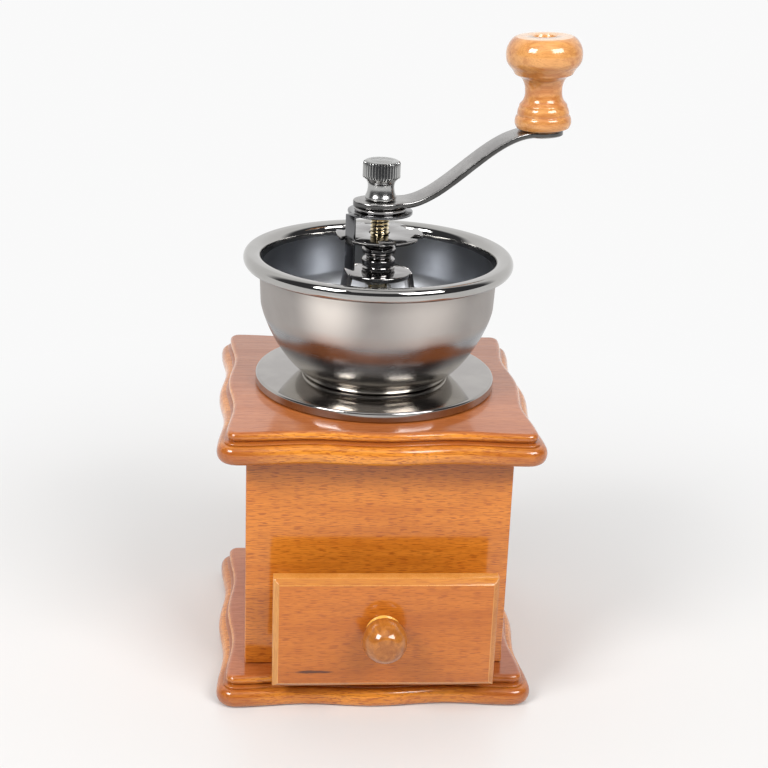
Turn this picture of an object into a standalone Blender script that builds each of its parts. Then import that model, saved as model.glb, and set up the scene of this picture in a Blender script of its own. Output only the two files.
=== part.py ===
"""Hand-cranked coffee grinder: a moulded wooden case with a drawer, a steel hopper and a cone mill.

Metres, +Z up. The origin is the centre of the base board's underside, and the drawer faces -Y.
Every piece is one closed solid. A piece that rests on its neighbour stands off it by FIT_GAP.
"""

import math

import bmesh
import bpy
from mathutils import Matrix, Vector

# Gaps and the overrun of cuts
FIT_GAP = 0.0003
RUNNING_GAP = 0.0003
BOLT_GAP = 0.0003
OVERRUN = 0.002

# Facets of round pieces
FINE_SEGMENTS = 42
ROUND_SEGMENTS = 28
SMALL_SEGMENTS = 16
SCREW_SEGMENTS = 12

# Base board and top board, which share one moulding
BOARD_OVERHANG = 0.0115
BOARD_THICKNESS = 0.0125
BOARD_CORNER_RADIUS = 0.008
SCALLOP_DEPTH = 0.0022
LOWER_BEAD_HEIGHT = 0.008
LOWER_BEAD_DEPTH = 0.0024
UPPER_BEAD_INSET = 0.0039
BEAD_GROOVE_DEPTH = 0.0007
BEAD_GROOVE_HEIGHT = 0.0005
TOP_EDGE_RADIUS = 0.0022
SIDE_STEPS = 10
CORNER_STEPS = 3

# Case walls
CASE_DEPTH = 0.100
CASE_HEIGHT = 0.0945
CASE_WALL = 0.009
OPENING_WIDTH = 0.080
OPENING_HEIGHT = 0.0400
OPENING_STILE = 0.0135

# Screws that hold the base board to the side panels
BASE_SCREW_RADIUS = 0.0018
BASE_SCREW_HEAD_RADIUS = 0.0036
BASE_SCREW_HEAD_HEIGHT = 0.0022
BASE_SCREW_SINK = 0.0008
BASE_SCREW_LENGTH = 0.028
BASE_SCREW_POINT = 0.004
BASE_SCREW_END_DISTANCE = 0.014

# Drawer
DRAWER_PULL = 0.014
DRAWER_SIDE_GAP = 0.0015
DRAWER_FLOOR_GAP = 0.0005
DRAWER_LENGTH = 0.080
DRAWER_WALL = 0.005
DRAWER_FLOOR = 0.003
DRAWER_WALL_HEIGHT = 0.033
DRAWER_FRONT_LAP = 0.005
DRAWER_FRONT_HEIGHT = 0.0483
DRAWER_FRONT_THICKNESS = 0.0067
DRAWER_FRONT_CHAMFER = 0.0023
DRAWER_FRONT_LIFT = 0.0007
DRAWER_FRONT_SHIFT = 0.0025
KNOB_SHIFT = 0.0016
KNOB_RISE = 0.0020
PULL_RADIUS = 0.0090
PULL_MIDDLE = 0.0082
PULL_FOOT_RADIUS = 0.0084
PULL_FOOT_THICKNESS = 0.0010
PULL_GROOVE_RADIUS = 0.0064
PULL_GROOVE_MIDDLE = 0.0016
PULL_FLAT_DEG = 30
PULL_STEPS = 7
PULL_SCREW_RADIUS = 0.0016
PULL_SCREW_HEAD_RADIUS = 0.0032
PULL_SCREW_HEAD_HEIGHT = 0.0018
PULL_SCREW_DEPTH = 0.011

# Ring burr, which fixes the hopper's middle
RING_BODY_RADIUS = 0.0170
RING_FLANGE_RADIUS = 0.0280
RING_FLANGE_THICKNESS = 0.0025
RING_REACH = 0.0030
RING_MOUTH_WALL = 0.0010
RING_SKIRT_WALL = 0.0017
RING_THROAT_WALL = 0.0048
RING_THROAT_SHARE = 0.54
RING_TOOTH_DEPTH = 0.0008

# Hopper: disc and bowl
DISC_RADIUS = 0.050
DISC_THICKNESS = 0.0042
DISC_EDGE_RADIUS = 0.0010
BOWL_WALL = 0.0012
BOWL_FLOOR_MARGIN = 0.0025
BOWL_FOOT_HEIGHT = 0.0017
BOWL_BELLY_RADIUS = 0.0482
BOWL_BELLY_HEIGHT = 0.0305
BOWL_NECK_RADIUS = 0.0488
BOWL_HEIGHT = 0.0515
BOWL_FULLNESS = 1.37
BOWL_STEPS = 5
LIP_RADIUS = 0.0555
LIP_WIDTH = 0.0064
LIP_THICKNESS = 0.0044
LIP_STEPS = 6
LIP_START_DEG = -125
LIP_END_DEG = 140

# Bridge over the mill
BRIDGE_HEIGHT = 0.0394
BRIDGE_TURN_DEG = 7
BRIDGE_STRAP = 0.0020
BRIDGE_STRAP_WIDTH = 0.0100
BRIDGE_DISC_RADIUS = 0.0135
BRIDGE_FOOT_LENGTH = 0.0076
BUSHING_RADIUS = 0.0068
BUSHING_HEIGHT = 0.0052
BUSHING_CHAMFER = 0.0007
BUSHING_GROOVE = 0.0005
BUSHING_GROOVE_SHARE = 0.4
BUSHING_SPIGOT_RADIUS = 0.0056

# Bolts through the bridge feet, the hopper and the top board
BOLT_RADIUS = 0.0019
BOLT_HEAD_RADIUS = 0.0034
BOLT_HEAD_HEIGHT = 0.0024
BOLT_TAIL = 0.0014
WASHER_RADIUS = 0.0045
WASHER_THICKNESS = 0.0008
NUT_ACROSS_FLATS = 0.0070
NUT_HEIGHT = 0.0032

# Strap below the mill, which steadies the shaft's end
STRAP_THICKNESS = 0.0016
STRAP_WIDTH = 0.0110
STRAP_LEG_PLACE = 0.0200
STRAP_SPAN = 0.0340
STRAP_DROP = 0.0125
STRAP_SCREW_RADIUS = 0.0016
STRAP_SCREW_HEAD_RADIUS = 0.0031
STRAP_SCREW_HEAD_HEIGHT = 0.0020
STRAP_SCREW_GRIP = 0.0090
STRAP_SCREW_POINT = 0.003

# Spindle: shaft, cone burr and spring
SHAFT_RADIUS = 0.0040
SHAFT_CHAMFER = 0.0006
JOURNAL_RADIUS = 0.0030
JOURNAL_TAIL = 0.0015
SHAFT_IN_NUT = 0.0110
CONE_HEIGHT = 0.0194
MILL_GAP = 0.0006
CONE_THROAT_GAP = 0.0014
CONE_TOP_RADIUS = 0.0062
CONE_BELOW_RING = 0.0008
CONE_TOOTH_DEPTH = 0.0008
CONE_RIB_DEPTH = 0.0018
CONE_NUT_ACROSS_FLATS = 0.0130
CONE_NUT_HEIGHT = 0.0043
SPRING_WASHER_RADIUS = 0.0066
SPRING_WASHER_THICKNESS = 0.0010
SPRING_WIRE_RADIUS = 0.0005
SPRING_MEAN_RADIUS = 0.0052
SPRING_CURLS = 11
POINTS_PER_CURL = 8

# Adjusting wheel, its lock clip and the spacer under the crank
WHEEL_RADIUS = 0.0178
WHEEL_THICKNESS = 0.0016
WHEEL_NOTCHES = 6
WHEEL_NOTCH_WIDTH = 0.0066
WHEEL_NOTCH_DEPTH = 0.0036
WHEEL_FOOT_RADIUS = 0.0052
WHEEL_FOOT_HEIGHT = 0.0012
WHEEL_BEAD_RADIUS = 0.0070
WHEEL_BEAD_HEIGHT = 0.0041
WHEEL_NECK_RADIUS = 0.0049
WHEEL_NECK_HEIGHT = 0.0034
THREAD_SHOWING = 0.0083
CLIP_RADIUS = 0.0133
CLIP_THICKNESS = 0.0011
CLIP_LEG_PLACE = 0.0156
CLIP_LEG_WIDTH = 0.0053
CLIP_LEG_LENGTH = 0.0226
CLIP_TURN_DEG = 217
SPACER_RADIUS = 0.0108
SPACER_THICKNESS = 0.0013

# Crank arm
ARM_LENGTH = 0.0677
ARM_RISE = 0.0280
ARM_THICKNESS = 0.0024
ARM_HALF_WIDTH = 0.0063
ARM_EYE_REACH = 0.0113
ARM_EYE_HALF_WIDTH = 0.0092
ARM_PAD_RADIUS = 0.0084
ARM_EDGE_CHAMFER = 0.0006
ARM_BEND_START = 0.0089
ARM_BEND_TO_PAD = 0.0058
ARM_TURN_DEG = 10
ARM_LEAN_DEG = 2.8
ARM_STEPS = 14
ARM_END_STEPS = 5
EYE_BLEND_LENGTH = 0.013
EYE_BLEND_DEG = 50

# Thumb nut on top of the shaft
THUMB_RADIUS = 0.0076
THUMB_HEIGHT = 0.0159
THUMB_KNURLS = 32
THUMB_KNURL_DEPTH = 0.0005

# Crank knob and the pin it spins on
HANDLE_RADIUS = 0.0156
HANDLE_HEIGHT = 0.0376
HANDLE_RECESS_RADIUS = 0.0048
HANDLE_RECESS_DEPTH = 0.0040
PIN_RADIUS = 0.0025
PIN_HEAD_RADIUS = 0.0040
PIN_HEAD_HEIGHT = 0.0018
PIN_RIVET_RADIUS = 0.0036
PIN_RIVET_HEIGHT = 0.0010
PIN_WASHER_RADIUS = 0.0060
PIN_WASHER_THICKNESS = 0.0007

# Widths worked out from the drawer's opening
CASE_WIDTH = OPENING_WIDTH + 2 * OPENING_STILE
BOARD_SIDE = CASE_WIDTH + 2 * BOARD_OVERHANG
DRAWER_FRONT_WIDTH = OPENING_WIDTH + 2 * DRAWER_FRONT_LAP

# Heights worked out from the sizes above
CASE_TOP = BOARD_THICKNESS + CASE_HEIGHT
DECK = CASE_TOP + BOARD_THICKNESS
DISC_FOOT = DECK + FIT_GAP
BOWL_FOOT = DISC_FOOT + DISC_THICKNESS + FIT_GAP
RING_SEAT = BOWL_FOOT + BOWL_WALL + FIT_GAP
RING_TOP = RING_SEAT + RING_FLANGE_THICKNESS
RING_FOOT = CASE_TOP - RING_REACH
BRIDGE_FOOT = RING_TOP + FIT_GAP
BRIDGE_TOP = BRIDGE_FOOT + BRIDGE_HEIGHT
BUSHING_FOOT = BRIDGE_TOP + FIT_GAP
WHEEL_FOOT = BUSHING_FOOT + BUSHING_HEIGHT + FIT_GAP
WHEEL_PLATE = WHEEL_FOOT + WHEEL_FOOT_HEIGHT + WHEEL_BEAD_HEIGHT + WHEEL_NECK_HEIGHT
CLIP_FOOT = WHEEL_PLATE + WHEEL_THICKNESS + THREAD_SHOWING
SPACER_FOOT = CLIP_FOOT + CLIP_THICKNESS + FIT_GAP
ARM_FOOT = SPACER_FOOT + SPACER_THICKNESS + FIT_GAP
THUMB_FOOT = ARM_FOOT + ARM_THICKNESS + FIT_GAP
SHAFT_TOP = THUMB_FOOT + SHAFT_IN_NUT
CONE_FOOT = RING_FOOT - CONE_BELOW_RING
CONE_TOP = CONE_FOOT + CONE_HEIGHT
CONE_NUT_TOP = CONE_FOOT - FIT_GAP
CONE_NUT_FOOT = CONE_NUT_TOP - CONE_NUT_HEIGHT
STRAP_TOP = CASE_TOP - FIT_GAP
STRAP_BAR_TOP = STRAP_TOP - STRAP_DROP
SHAFT_FOOT = STRAP_BAR_TOP - STRAP_THICKNESS - JOURNAL_TAIL

# Radii worked out from what stands beside or passes through
RING_MOUTH_RADIUS = RING_BODY_RADIUS - RING_MOUTH_WALL
RING_SKIRT_RADIUS = RING_BODY_RADIUS - RING_SKIRT_WALL
RING_THROAT_RADIUS = RING_BODY_RADIUS - RING_THROAT_WALL
CONE_SKIRT_RADIUS = RING_SKIRT_RADIUS - MILL_GAP
CONE_SHOULDER_RADIUS = RING_THROAT_RADIUS - CONE_THROAT_GAP
BOWL_FOOT_RADIUS = RING_FLANGE_RADIUS + BOWL_FLOOR_MARGIN
BRIDGE_FOOT_INNER = RING_FLANGE_RADIUS - BRIDGE_FOOT_LENGTH
BRIDGE_BOLT_PLACE = RING_FLANGE_RADIUS - BRIDGE_FOOT_LENGTH / 2
SHAFT_HOLE = SHAFT_RADIUS + RUNNING_GAP
JOURNAL_HOLE = JOURNAL_RADIUS + RUNNING_GAP
BOLT_HOLE = BOLT_RADIUS + BOLT_GAP
RING_HOLE = RING_BODY_RADIUS + FIT_GAP
PIN_HOLE = PIN_RADIUS + RUNNING_GAP

# Outlines as shares of the piece's own radius and height, from the foot up
HANDLE_PROFILE_SHARES = (
    (0.615, 0.0), (0.70, 0.018), (0.745, 0.075), (0.72, 0.138), (0.678, 0.178), (0.662, 0.222),
    (0.62, 0.266), (0.545, 0.305), (0.50, 0.35), (0.487, 0.40), (0.504, 0.456), (0.542, 0.496),
    (0.61, 0.537), (0.745, 0.569), (0.80, 0.597), (0.857, 0.642), (0.935, 0.684), (0.985, 0.73),
    (1.0, 0.80), (0.975, 0.874), (0.93, 0.918), (0.862, 0.956), (0.75, 1.0),
)
THUMB_PROFILE_SHARES = (
    (0.77, 0.0), (0.845, 0.03), (0.845, 0.075), (0.79, 0.135), (0.73, 0.22), (0.71, 0.32),
    (0.735, 0.42), (0.80, 0.48), (0.97, 0.56),
)
THUMB_KNURL_START_SHARE = 0.58
THUMB_KNURL_END_SHARE = 0.93
THUMB_TOP_RADIUS_SHARE = 0.86
CONE_PROFILE_SHARES = ((0.0, 0.04), (0.13, 0.13), (0.55, 0.42), (1.0, 0.67))

WOOD = (0.60, 0.25, 0.065)
PALE_WOOD = (0.70, 0.42, 0.18)
GUNMETAL = (0.20, 0.195, 0.19)
BRIGHT_STEEL = (0.55, 0.55, 0.55)
CAST_IRON = (0.12, 0.12, 0.125)
BRASS_PLATE = (0.62, 0.46, 0.22)


def clear_scene():
    """Remove whatever the scene holds."""
    for obj in list(bpy.data.objects):
        bpy.data.objects.remove(obj, do_unlink=True)


def material(name, colour, roughness, metallic):
    """A Principled material in one colour."""
    made = bpy.data.materials.new(name)
    made.use_nodes = True
    shader = made.node_tree.nodes["Principled BSDF"]
    shader.inputs["Base Color"].default_value = (*colour, 1.0)
    shader.inputs["Roughness"].default_value = roughness
    shader.inputs["Metallic"].default_value = metallic
    return made


def wood(name, colour=WOOD):
    """Varnished wood."""
    return material(name + "_finish", colour, 0.3, 0.0)


def metal(name, colour=GUNMETAL, roughness=0.25):
    """Plated or bare metal."""
    return material(name + "_finish", colour, roughness, 1.0)


def from_bmesh(name, bm, finish=None, smooth_deg=40):
    """Make an object of a closed bmesh, with its faces pointing out."""
    bmesh.ops.remove_doubles(bm, verts=bm.verts, dist=FIT_GAP / 1000)
    bmesh.ops.recalc_face_normals(bm, faces=bm.faces)
    if bm.calc_volume(signed=True) < 0:
        bmesh.ops.reverse_faces(bm, faces=bm.faces)
    mesh = bpy.data.meshes.new(name)
    bm.to_mesh(mesh)
    bm.free()
    mesh.shade_smooth()
    mesh.set_sharp_from_angle(angle=math.radians(smooth_deg))
    if finish:
        mesh.materials.append(finish)
    obj = bpy.data.objects.new(name, mesh)
    bpy.context.scene.collection.objects.link(obj)
    return obj


def skin(bm, rings, joined):
    """Join rings of vertices with faces. A ring of one vertex is a pole, and open ends get a cap."""
    pairs = list(zip(rings, rings[1:])) + ([(rings[-1], rings[0])] if joined else [])
    for low, high in pairs:
        count = max(len(low), len(high))
        for step in range(count):
            following = (step + 1) % count
            if len(low) == 1:
                bm.faces.new((low[0], high[step], high[following]))
            elif len(high) == 1:
                bm.faces.new((low[step], low[following], high[0]))
            else:
                bm.faces.new((low[step], low[following], high[following], high[step]))
    if not joined:
        for ring in (rings[0], rings[-1]):
            if len(ring) > 2:
                bm.faces.new(ring)


def turned(name, profile, finish=None, segments=ROUND_SEGMENTS, bored=False, ripple=None):
    """Turn a profile of (radius, height) about Z.

    A bored profile is a closed loop round the bore. ripple(index, angle) adds to a point's radius.
    """
    bm = bmesh.new()
    rings = []
    for index, (radius, height) in enumerate(profile):
        ring = []
        for step in range(segments if radius > 0 else 1):
            angle = 2 * math.pi * step / segments
            reach = radius + (ripple(index, angle) if ripple else 0)
            ring.append(bm.verts.new((reach * math.cos(angle), reach * math.sin(angle), height)))
        rings.append(ring)
    skin(bm, rings, joined=bored)
    return from_bmesh(name, bm, finish)


def ring_piece(name, inner, outer, low, high, finish, segments=ROUND_SEGMENTS):
    """A plain washer or sleeve."""
    loop = [(inner, low), (outer, low), (outer, high), (inner, high)]
    return turned(name, loop, finish, segments, bored=True)


def extruded(name, outline, low, high, plane="XY", finish=None):
    """Extrude an outline. In XZ it runs along Y from low to high, and in YZ along X."""
    place = {
        "XY": lambda a, b, c: (a, b, c),
        "XZ": lambda a, b, c: (a, c, b),
        "YZ": lambda a, b, c: (c, a, b),
    }[plane]
    bm = bmesh.new()
    rings = [[bm.verts.new(place(a, b, level)) for a, b in outline] for level in (low, high)]
    skin(bm, rings, joined=False)
    return from_bmesh(name, bm, finish, smooth_deg=30)


def block(name, low, high, finish=None):
    """A rectangular piece between two corners."""
    outline = [(low[0], low[1]), (high[0], low[1]), (high[0], high[1]), (low[0], high[1])]
    return extruded(name, outline, low[2], high[2], finish=finish)


def hex_nut(name, across_flats, bore, low, high, finish):
    """A six-sided nut with a round bore."""
    corner = across_flats / 2 / math.cos(math.pi / 6)
    outline = [
        (corner * math.cos(side * math.pi / 3), corner * math.sin(side * math.pi / 3))
        for side in range(6)
    ]
    nut = extruded(name, outline, low, high, finish=finish)
    drill(nut, bore, low, high)
    return nut


def combine(obj, tool, operation):
    """Cut a piece with a tool, or add the tool to it, in the piece's own frame."""
    tool.parent = obj
    tool.hide_render = True
    tool.display_type = "WIRE"
    change = obj.modifiers.new(tool.name, "BOOLEAN")
    change.operation = operation
    change.object = tool
    change.solver = "EXACT"


def drill(obj, radius, low, high, at=(0, 0), segments=ROUND_SEGMENTS):
    """Drill a hole along Z through a piece, running past both ends."""
    start, end = low - OVERRUN, high + OVERRUN
    profile = [(0, start), (radius, start), (radius, end), (0, end)]
    tool = turned(f"{obj.name}_hole_{len(obj.modifiers)}", profile, segments=segments)
    tool.location = (at[0], at[1], 0)
    combine(obj, tool, "DIFFERENCE")
    return tool


def empty(name, parent=None, location=(0, 0, 0), rotation=(0, 0, 0)):
    """A frame that pieces hang from."""
    made = bpy.data.objects.new(name, None)
    made.location = location
    made.rotation_euler = rotation
    made.parent = parent
    bpy.context.scene.collection.objects.link(made)
    return made


def hang(parent, *pieces):
    """Hang pieces from an empty."""
    for piece in pieces:
        piece.parent = parent


def around(radius, degrees):
    """The point at a radius and an angle in plan."""
    return radius * math.cos(math.radians(degrees)), radius * math.sin(math.radians(degrees))


def bolt_places():
    """Where the two bridge bolts stand in plan."""
    return [around(BRIDGE_BOLT_PLACE, BRIDGE_TURN_DEG + half_turn) for half_turn in (0, 180)]


def base_screw_places():
    """Where the four base screws stand in plan: under the middle of the side panels."""
    across = (CASE_WIDTH - CASE_WALL) / 2
    along = CASE_DEPTH / 2 - CASE_WALL - BASE_SCREW_END_DISTANCE
    return [(side * across, end * along) for side in (-1, 1) for end in (-1, 1)]


def board_outline(inset):
    """The scalloped outline of a board, drawn in by inset: a bulge mid-side and a lobe at each corner."""
    half = BOARD_SIDE / 2
    run = half - BOARD_CORNER_RADIUS
    points = []
    for side in range(4):
        turn = Matrix.Rotation(side * math.pi / 2, 2)
        for step in range(SIDE_STEPS + 1):
            along = run * (2 * step / SIDE_STEPS - 1)
            wave = SCALLOP_DEPTH * (1 - math.cos(2 * math.pi * along / run)) / 2
            points.append(turn @ Vector((half - inset - wave, along)))
        for step in range(1, CORNER_STEPS):
            angle = step * math.pi / 2 / CORNER_STEPS
            radius = BOARD_CORNER_RADIUS - inset
            corner = (run + radius * math.cos(angle), run + radius * math.sin(angle))
            points.append(turn @ Vector(corner))
    return points


def moulding_profile():
    """The edge as (inset, height): a fat lower bead, a groove, and an upper bead with a rounded top."""
    profile = []
    for degrees in (-90, -45, 0, 45, 90):
        angle = math.radians(degrees)
        inset = LOWER_BEAD_DEPTH * (1 - math.cos(angle))
        profile.append((inset, LOWER_BEAD_HEIGHT * (1 + math.sin(angle)) / 2))
    profile.append((UPPER_BEAD_INSET + BEAD_GROOVE_DEPTH, LOWER_BEAD_HEIGHT))
    profile.append((UPPER_BEAD_INSET, LOWER_BEAD_HEIGHT + BEAD_GROOVE_HEIGHT))
    for degrees in (0, 45, 90):
        angle = math.radians(degrees)
        inset = UPPER_BEAD_INSET + TOP_EDGE_RADIUS * (1 - math.cos(angle))
        profile.append((inset, BOARD_THICKNESS - TOP_EDGE_RADIUS * (1 - math.sin(angle))))
    return profile


def moulded_board(name, foot):
    """A moulded board with its underside at foot."""
    bm = bmesh.new()
    rings = [
        [bm.verts.new((*point, foot + height)) for point in board_outline(inset)]
        for inset, height in moulding_profile()
    ]
    skin(bm, rings, joined=False)
    return from_bmesh(name, bm, wood(name))


def wood_screw_profile(head_foot, head_height, head_radius, radius, length, point, countersunk):
    """A screw that points up, from its head's outer face to its tip."""
    neck = head_foot + head_height
    tip = head_foot + length
    head = [(head_radius, head_foot)] if countersunk else [(head_radius, head_foot), (head_radius, neck)]
    return [(0, head_foot), *head, (radius, neck), (radius, tip - point), (0, tip)]


def make_case():
    """The two moulded boards, the four walls and the screws from below."""
    base = moulded_board("base_board", 0)
    top = moulded_board("top_board", CASE_TOP)
    drill(top, RING_HOLE, CASE_TOP, DECK, segments=FINE_SEGMENTS)
    for place in bolt_places():
        drill(top, BOLT_HOLE, CASE_TOP, DECK, place, SMALL_SEGMENTS)

    low, high = BOARD_THICKNESS + FIT_GAP, CASE_TOP - FIT_GAP
    half_width, half_depth = CASE_WIDTH / 2, CASE_DEPTH / 2
    half_opening, sill = OPENING_WIDTH / 2, BOARD_THICKNESS + OPENING_HEIGHT
    outline = [
        (-half_width, low), (-half_opening, low), (-half_opening, sill), (half_opening, sill),
        (half_opening, low), (half_width, low), (half_width, high), (-half_width, high),
    ]
    extruded("front_panel", outline, -half_depth, CASE_WALL - half_depth, "XZ", wood("front_panel"))
    corner = (-half_width, half_depth - CASE_WALL, low)
    block("back_panel", corner, (half_width, half_depth, high), wood("back_panel"))
    reach = half_depth - CASE_WALL - FIT_GAP
    for name, side in (("left_panel", -1), ("right_panel", 1)):
        edges = sorted((side * half_width, side * (half_width - CASE_WALL)))
        panel = block(name, (edges[0], -reach, low), (edges[1], reach, high), wood(name))
        for place in base_screw_places():
            if place[0] * side > 0:
                pilot(panel, BASE_SCREW_RADIUS, low, BASE_SCREW_SINK + BASE_SCREW_LENGTH, place)

    for number, place in enumerate(base_screw_places(), 1):
        countersink(base, place)
        profile = wood_screw_profile(
            BASE_SCREW_SINK, BASE_SCREW_HEAD_HEIGHT, BASE_SCREW_HEAD_RADIUS,
            BASE_SCREW_RADIUS, BASE_SCREW_LENGTH, BASE_SCREW_POINT, countersunk=True,
        )
        name = f"base_screw_{number}"
        screw = turned(name, profile, metal(name, BRIGHT_STEEL), SCREW_SEGMENTS)
        screw.location = (*place, 0)


def pilot(obj, radius, mouth, tip, at):
    """A blind hole for a screw that points up, from the mouth to a little past the screw's tip."""
    start, end, bore = mouth - OVERRUN, tip + BOLT_GAP, radius + BOLT_GAP
    profile = [(0, start), (bore, start), (bore, end), (0, end)]
    tool = turned(f"{obj.name}_pilot_{len(obj.modifiers)}", profile, segments=SCREW_SEGMENTS)
    tool.location = (at[0], at[1], 0)
    combine(obj, tool, "DIFFERENCE")


def countersink(obj, at):
    """The hole in the base board for a screw, with the cone that its head sinks into."""
    wide = BASE_SCREW_HEAD_RADIUS + BOLT_GAP
    narrow = BASE_SCREW_RADIUS + BOLT_GAP
    mouth, neck = BASE_SCREW_SINK, BASE_SCREW_SINK + BASE_SCREW_HEAD_HEIGHT
    end = BOARD_THICKNESS + OVERRUN
    profile = [(0, -OVERRUN), (wide, -OVERRUN), (wide, mouth), (narrow, neck), (narrow, end), (0, end)]
    tool = turned(f"{obj.name}_sink_{len(obj.modifiers)}", profile, segments=SCREW_SEGMENTS)
    tool.location = (at[0], at[1], 0)
    combine(obj, tool, "DIFFERENCE")


def make_drawer():
    """The drawer, pulled out by DRAWER_PULL, with its front board laid over the opening."""
    runner = empty("drawer_runner", location=(0, -DRAWER_PULL, 0))
    back_face = -CASE_DEPTH / 2 - FIT_GAP
    front_face = back_face - DRAWER_FRONT_THICKNESS
    foot = BOARD_THICKNESS + DRAWER_FRONT_LIFT
    pull_at = (KNOB_SHIFT, foot + DRAWER_FRONT_HEIGHT / 2 + KNOB_RISE)

    front = drawer_front(front_face, back_face, foot)
    box_half = OPENING_WIDTH / 2 - DRAWER_SIDE_GAP
    start = back_face + FIT_GAP
    end = start + DRAWER_LENGTH
    floor_low = BOARD_THICKNESS + DRAWER_FLOOR_GAP
    wall_low = floor_low + DRAWER_FLOOR + FIT_GAP
    wall_high = wall_low + DRAWER_WALL_HEIGHT
    inner = box_half - DRAWER_WALL
    floor = block(
        "drawer_bottom", (-box_half, start, floor_low), (box_half, end, floor_low + DRAWER_FLOOR),
        wood("drawer_bottom", PALE_WOOD),
    )
    left = block(
        "drawer_side_left", (-box_half, start, wall_low), (-inner, end, wall_high),
        wood("drawer_side_left", PALE_WOOD),
    )
    right = block(
        "drawer_side_right", (inner, start, wall_low), (box_half, end, wall_high),
        wood("drawer_side_right", PALE_WOOD),
    )
    rear = block(
        "drawer_back", (FIT_GAP - inner, end - DRAWER_WALL, wall_low), (inner - FIT_GAP, end, wall_high),
        wood("drawer_back", PALE_WOOD),
    )

    depth, bore = PULL_SCREW_DEPTH + BOLT_GAP, PULL_SCREW_RADIUS + BOLT_GAP
    blind = [(0, depth), (bore, depth), (bore, 0)]
    pull = turned("drawer_knob", blind + pull_profile(), wood("drawer_knob"), ROUND_SEGMENTS)
    pull.location = (pull_at[0], front_face - FIT_GAP, pull_at[1])
    pull.rotation_euler = (math.pi / 2, 0, 0)

    head = PULL_SCREW_HEAD_HEIGHT
    tip = head + FIT_GAP + DRAWER_FRONT_THICKNESS + FIT_GAP + PULL_SCREW_DEPTH
    shank = wood_screw_profile(
        0, head, PULL_SCREW_HEAD_RADIUS, PULL_SCREW_RADIUS, tip, STRAP_SCREW_POINT, countersunk=False
    )
    screw = turned("drawer_knob_screw", shank, metal("drawer_knob_screw", BRIGHT_STEEL), SCREW_SEGMENTS)
    screw.location = (pull_at[0], back_face + FIT_GAP + head, pull_at[1])
    screw.rotation_euler = (math.pi / 2, 0, 0)
    hang(runner, front, floor, left, right, rear, pull, screw)

    outside, inside = front_face - OVERRUN, back_face + OVERRUN
    profile = [(0, outside), (bore, outside), (bore, inside), (0, inside)]
    hole = turned("drawer_front_hole", profile, segments=SCREW_SEGMENTS)
    hole.location = (pull_at[0], 0, pull_at[1])
    hole.rotation_euler = (-math.pi / 2, 0, 0)
    combine(front, hole, "DIFFERENCE")


def pull_profile():
    """The drawer knob from its foot: a thin rim, a groove, then a ball with a small flat front."""
    profile = [
        (PULL_FOOT_RADIUS, 0), (PULL_FOOT_RADIUS, PULL_FOOT_THICKNESS), (PULL_GROOVE_RADIUS, PULL_GROOVE_MIDDLE),
    ]
    start = math.asin(PULL_GROOVE_RADIUS / PULL_RADIUS)
    end = math.pi - math.radians(PULL_FLAT_DEG)
    for step in range(PULL_STEPS + 1):
        angle = start + (end - start) * step / PULL_STEPS
        profile.append((PULL_RADIUS * math.sin(angle), PULL_MIDDLE - PULL_RADIUS * math.cos(angle)))
    return profile + [(0, PULL_MIDDLE - PULL_RADIUS * math.cos(end))]


def drawer_front(front_face, back_face, foot):
    """The front board, chamfered all round its face."""
    half, shift = DRAWER_FRONT_WIDTH / 2, DRAWER_FRONT_SHIFT
    top = foot + DRAWER_FRONT_HEIGHT
    bm = bmesh.new()
    rings = []
    for level, inset in (
        (back_face, 0), (front_face + DRAWER_FRONT_CHAMFER, 0), (front_face, DRAWER_FRONT_CHAMFER)
    ):
        left, right = shift - half + inset, shift + half - inset
        corners = ((left, foot + inset), (right, foot + inset), (right, top - inset), (left, top - inset))
        rings.append([bm.verts.new((x, level, z)) for x, z in corners])
    skin(bm, rings, joined=False)
    return from_bmesh("drawer_front", bm, wood("drawer_front"), smooth_deg=30)


def bowl_curve(radius_foot, radius_belly, low, high):
    """The bowl's side from its foot to its belly, as a superellipse."""
    points = []
    for step in range(BOWL_STEPS + 1):
        angle = step / BOWL_STEPS * math.pi / 2
        across = math.sin(angle) ** (2 / BOWL_FULLNESS)
        up = 1 - math.cos(angle) ** (2 / BOWL_FULLNESS)
        points.append((radius_foot + (radius_belly - radius_foot) * across, low + (high - low) * up))
    return points


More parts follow.
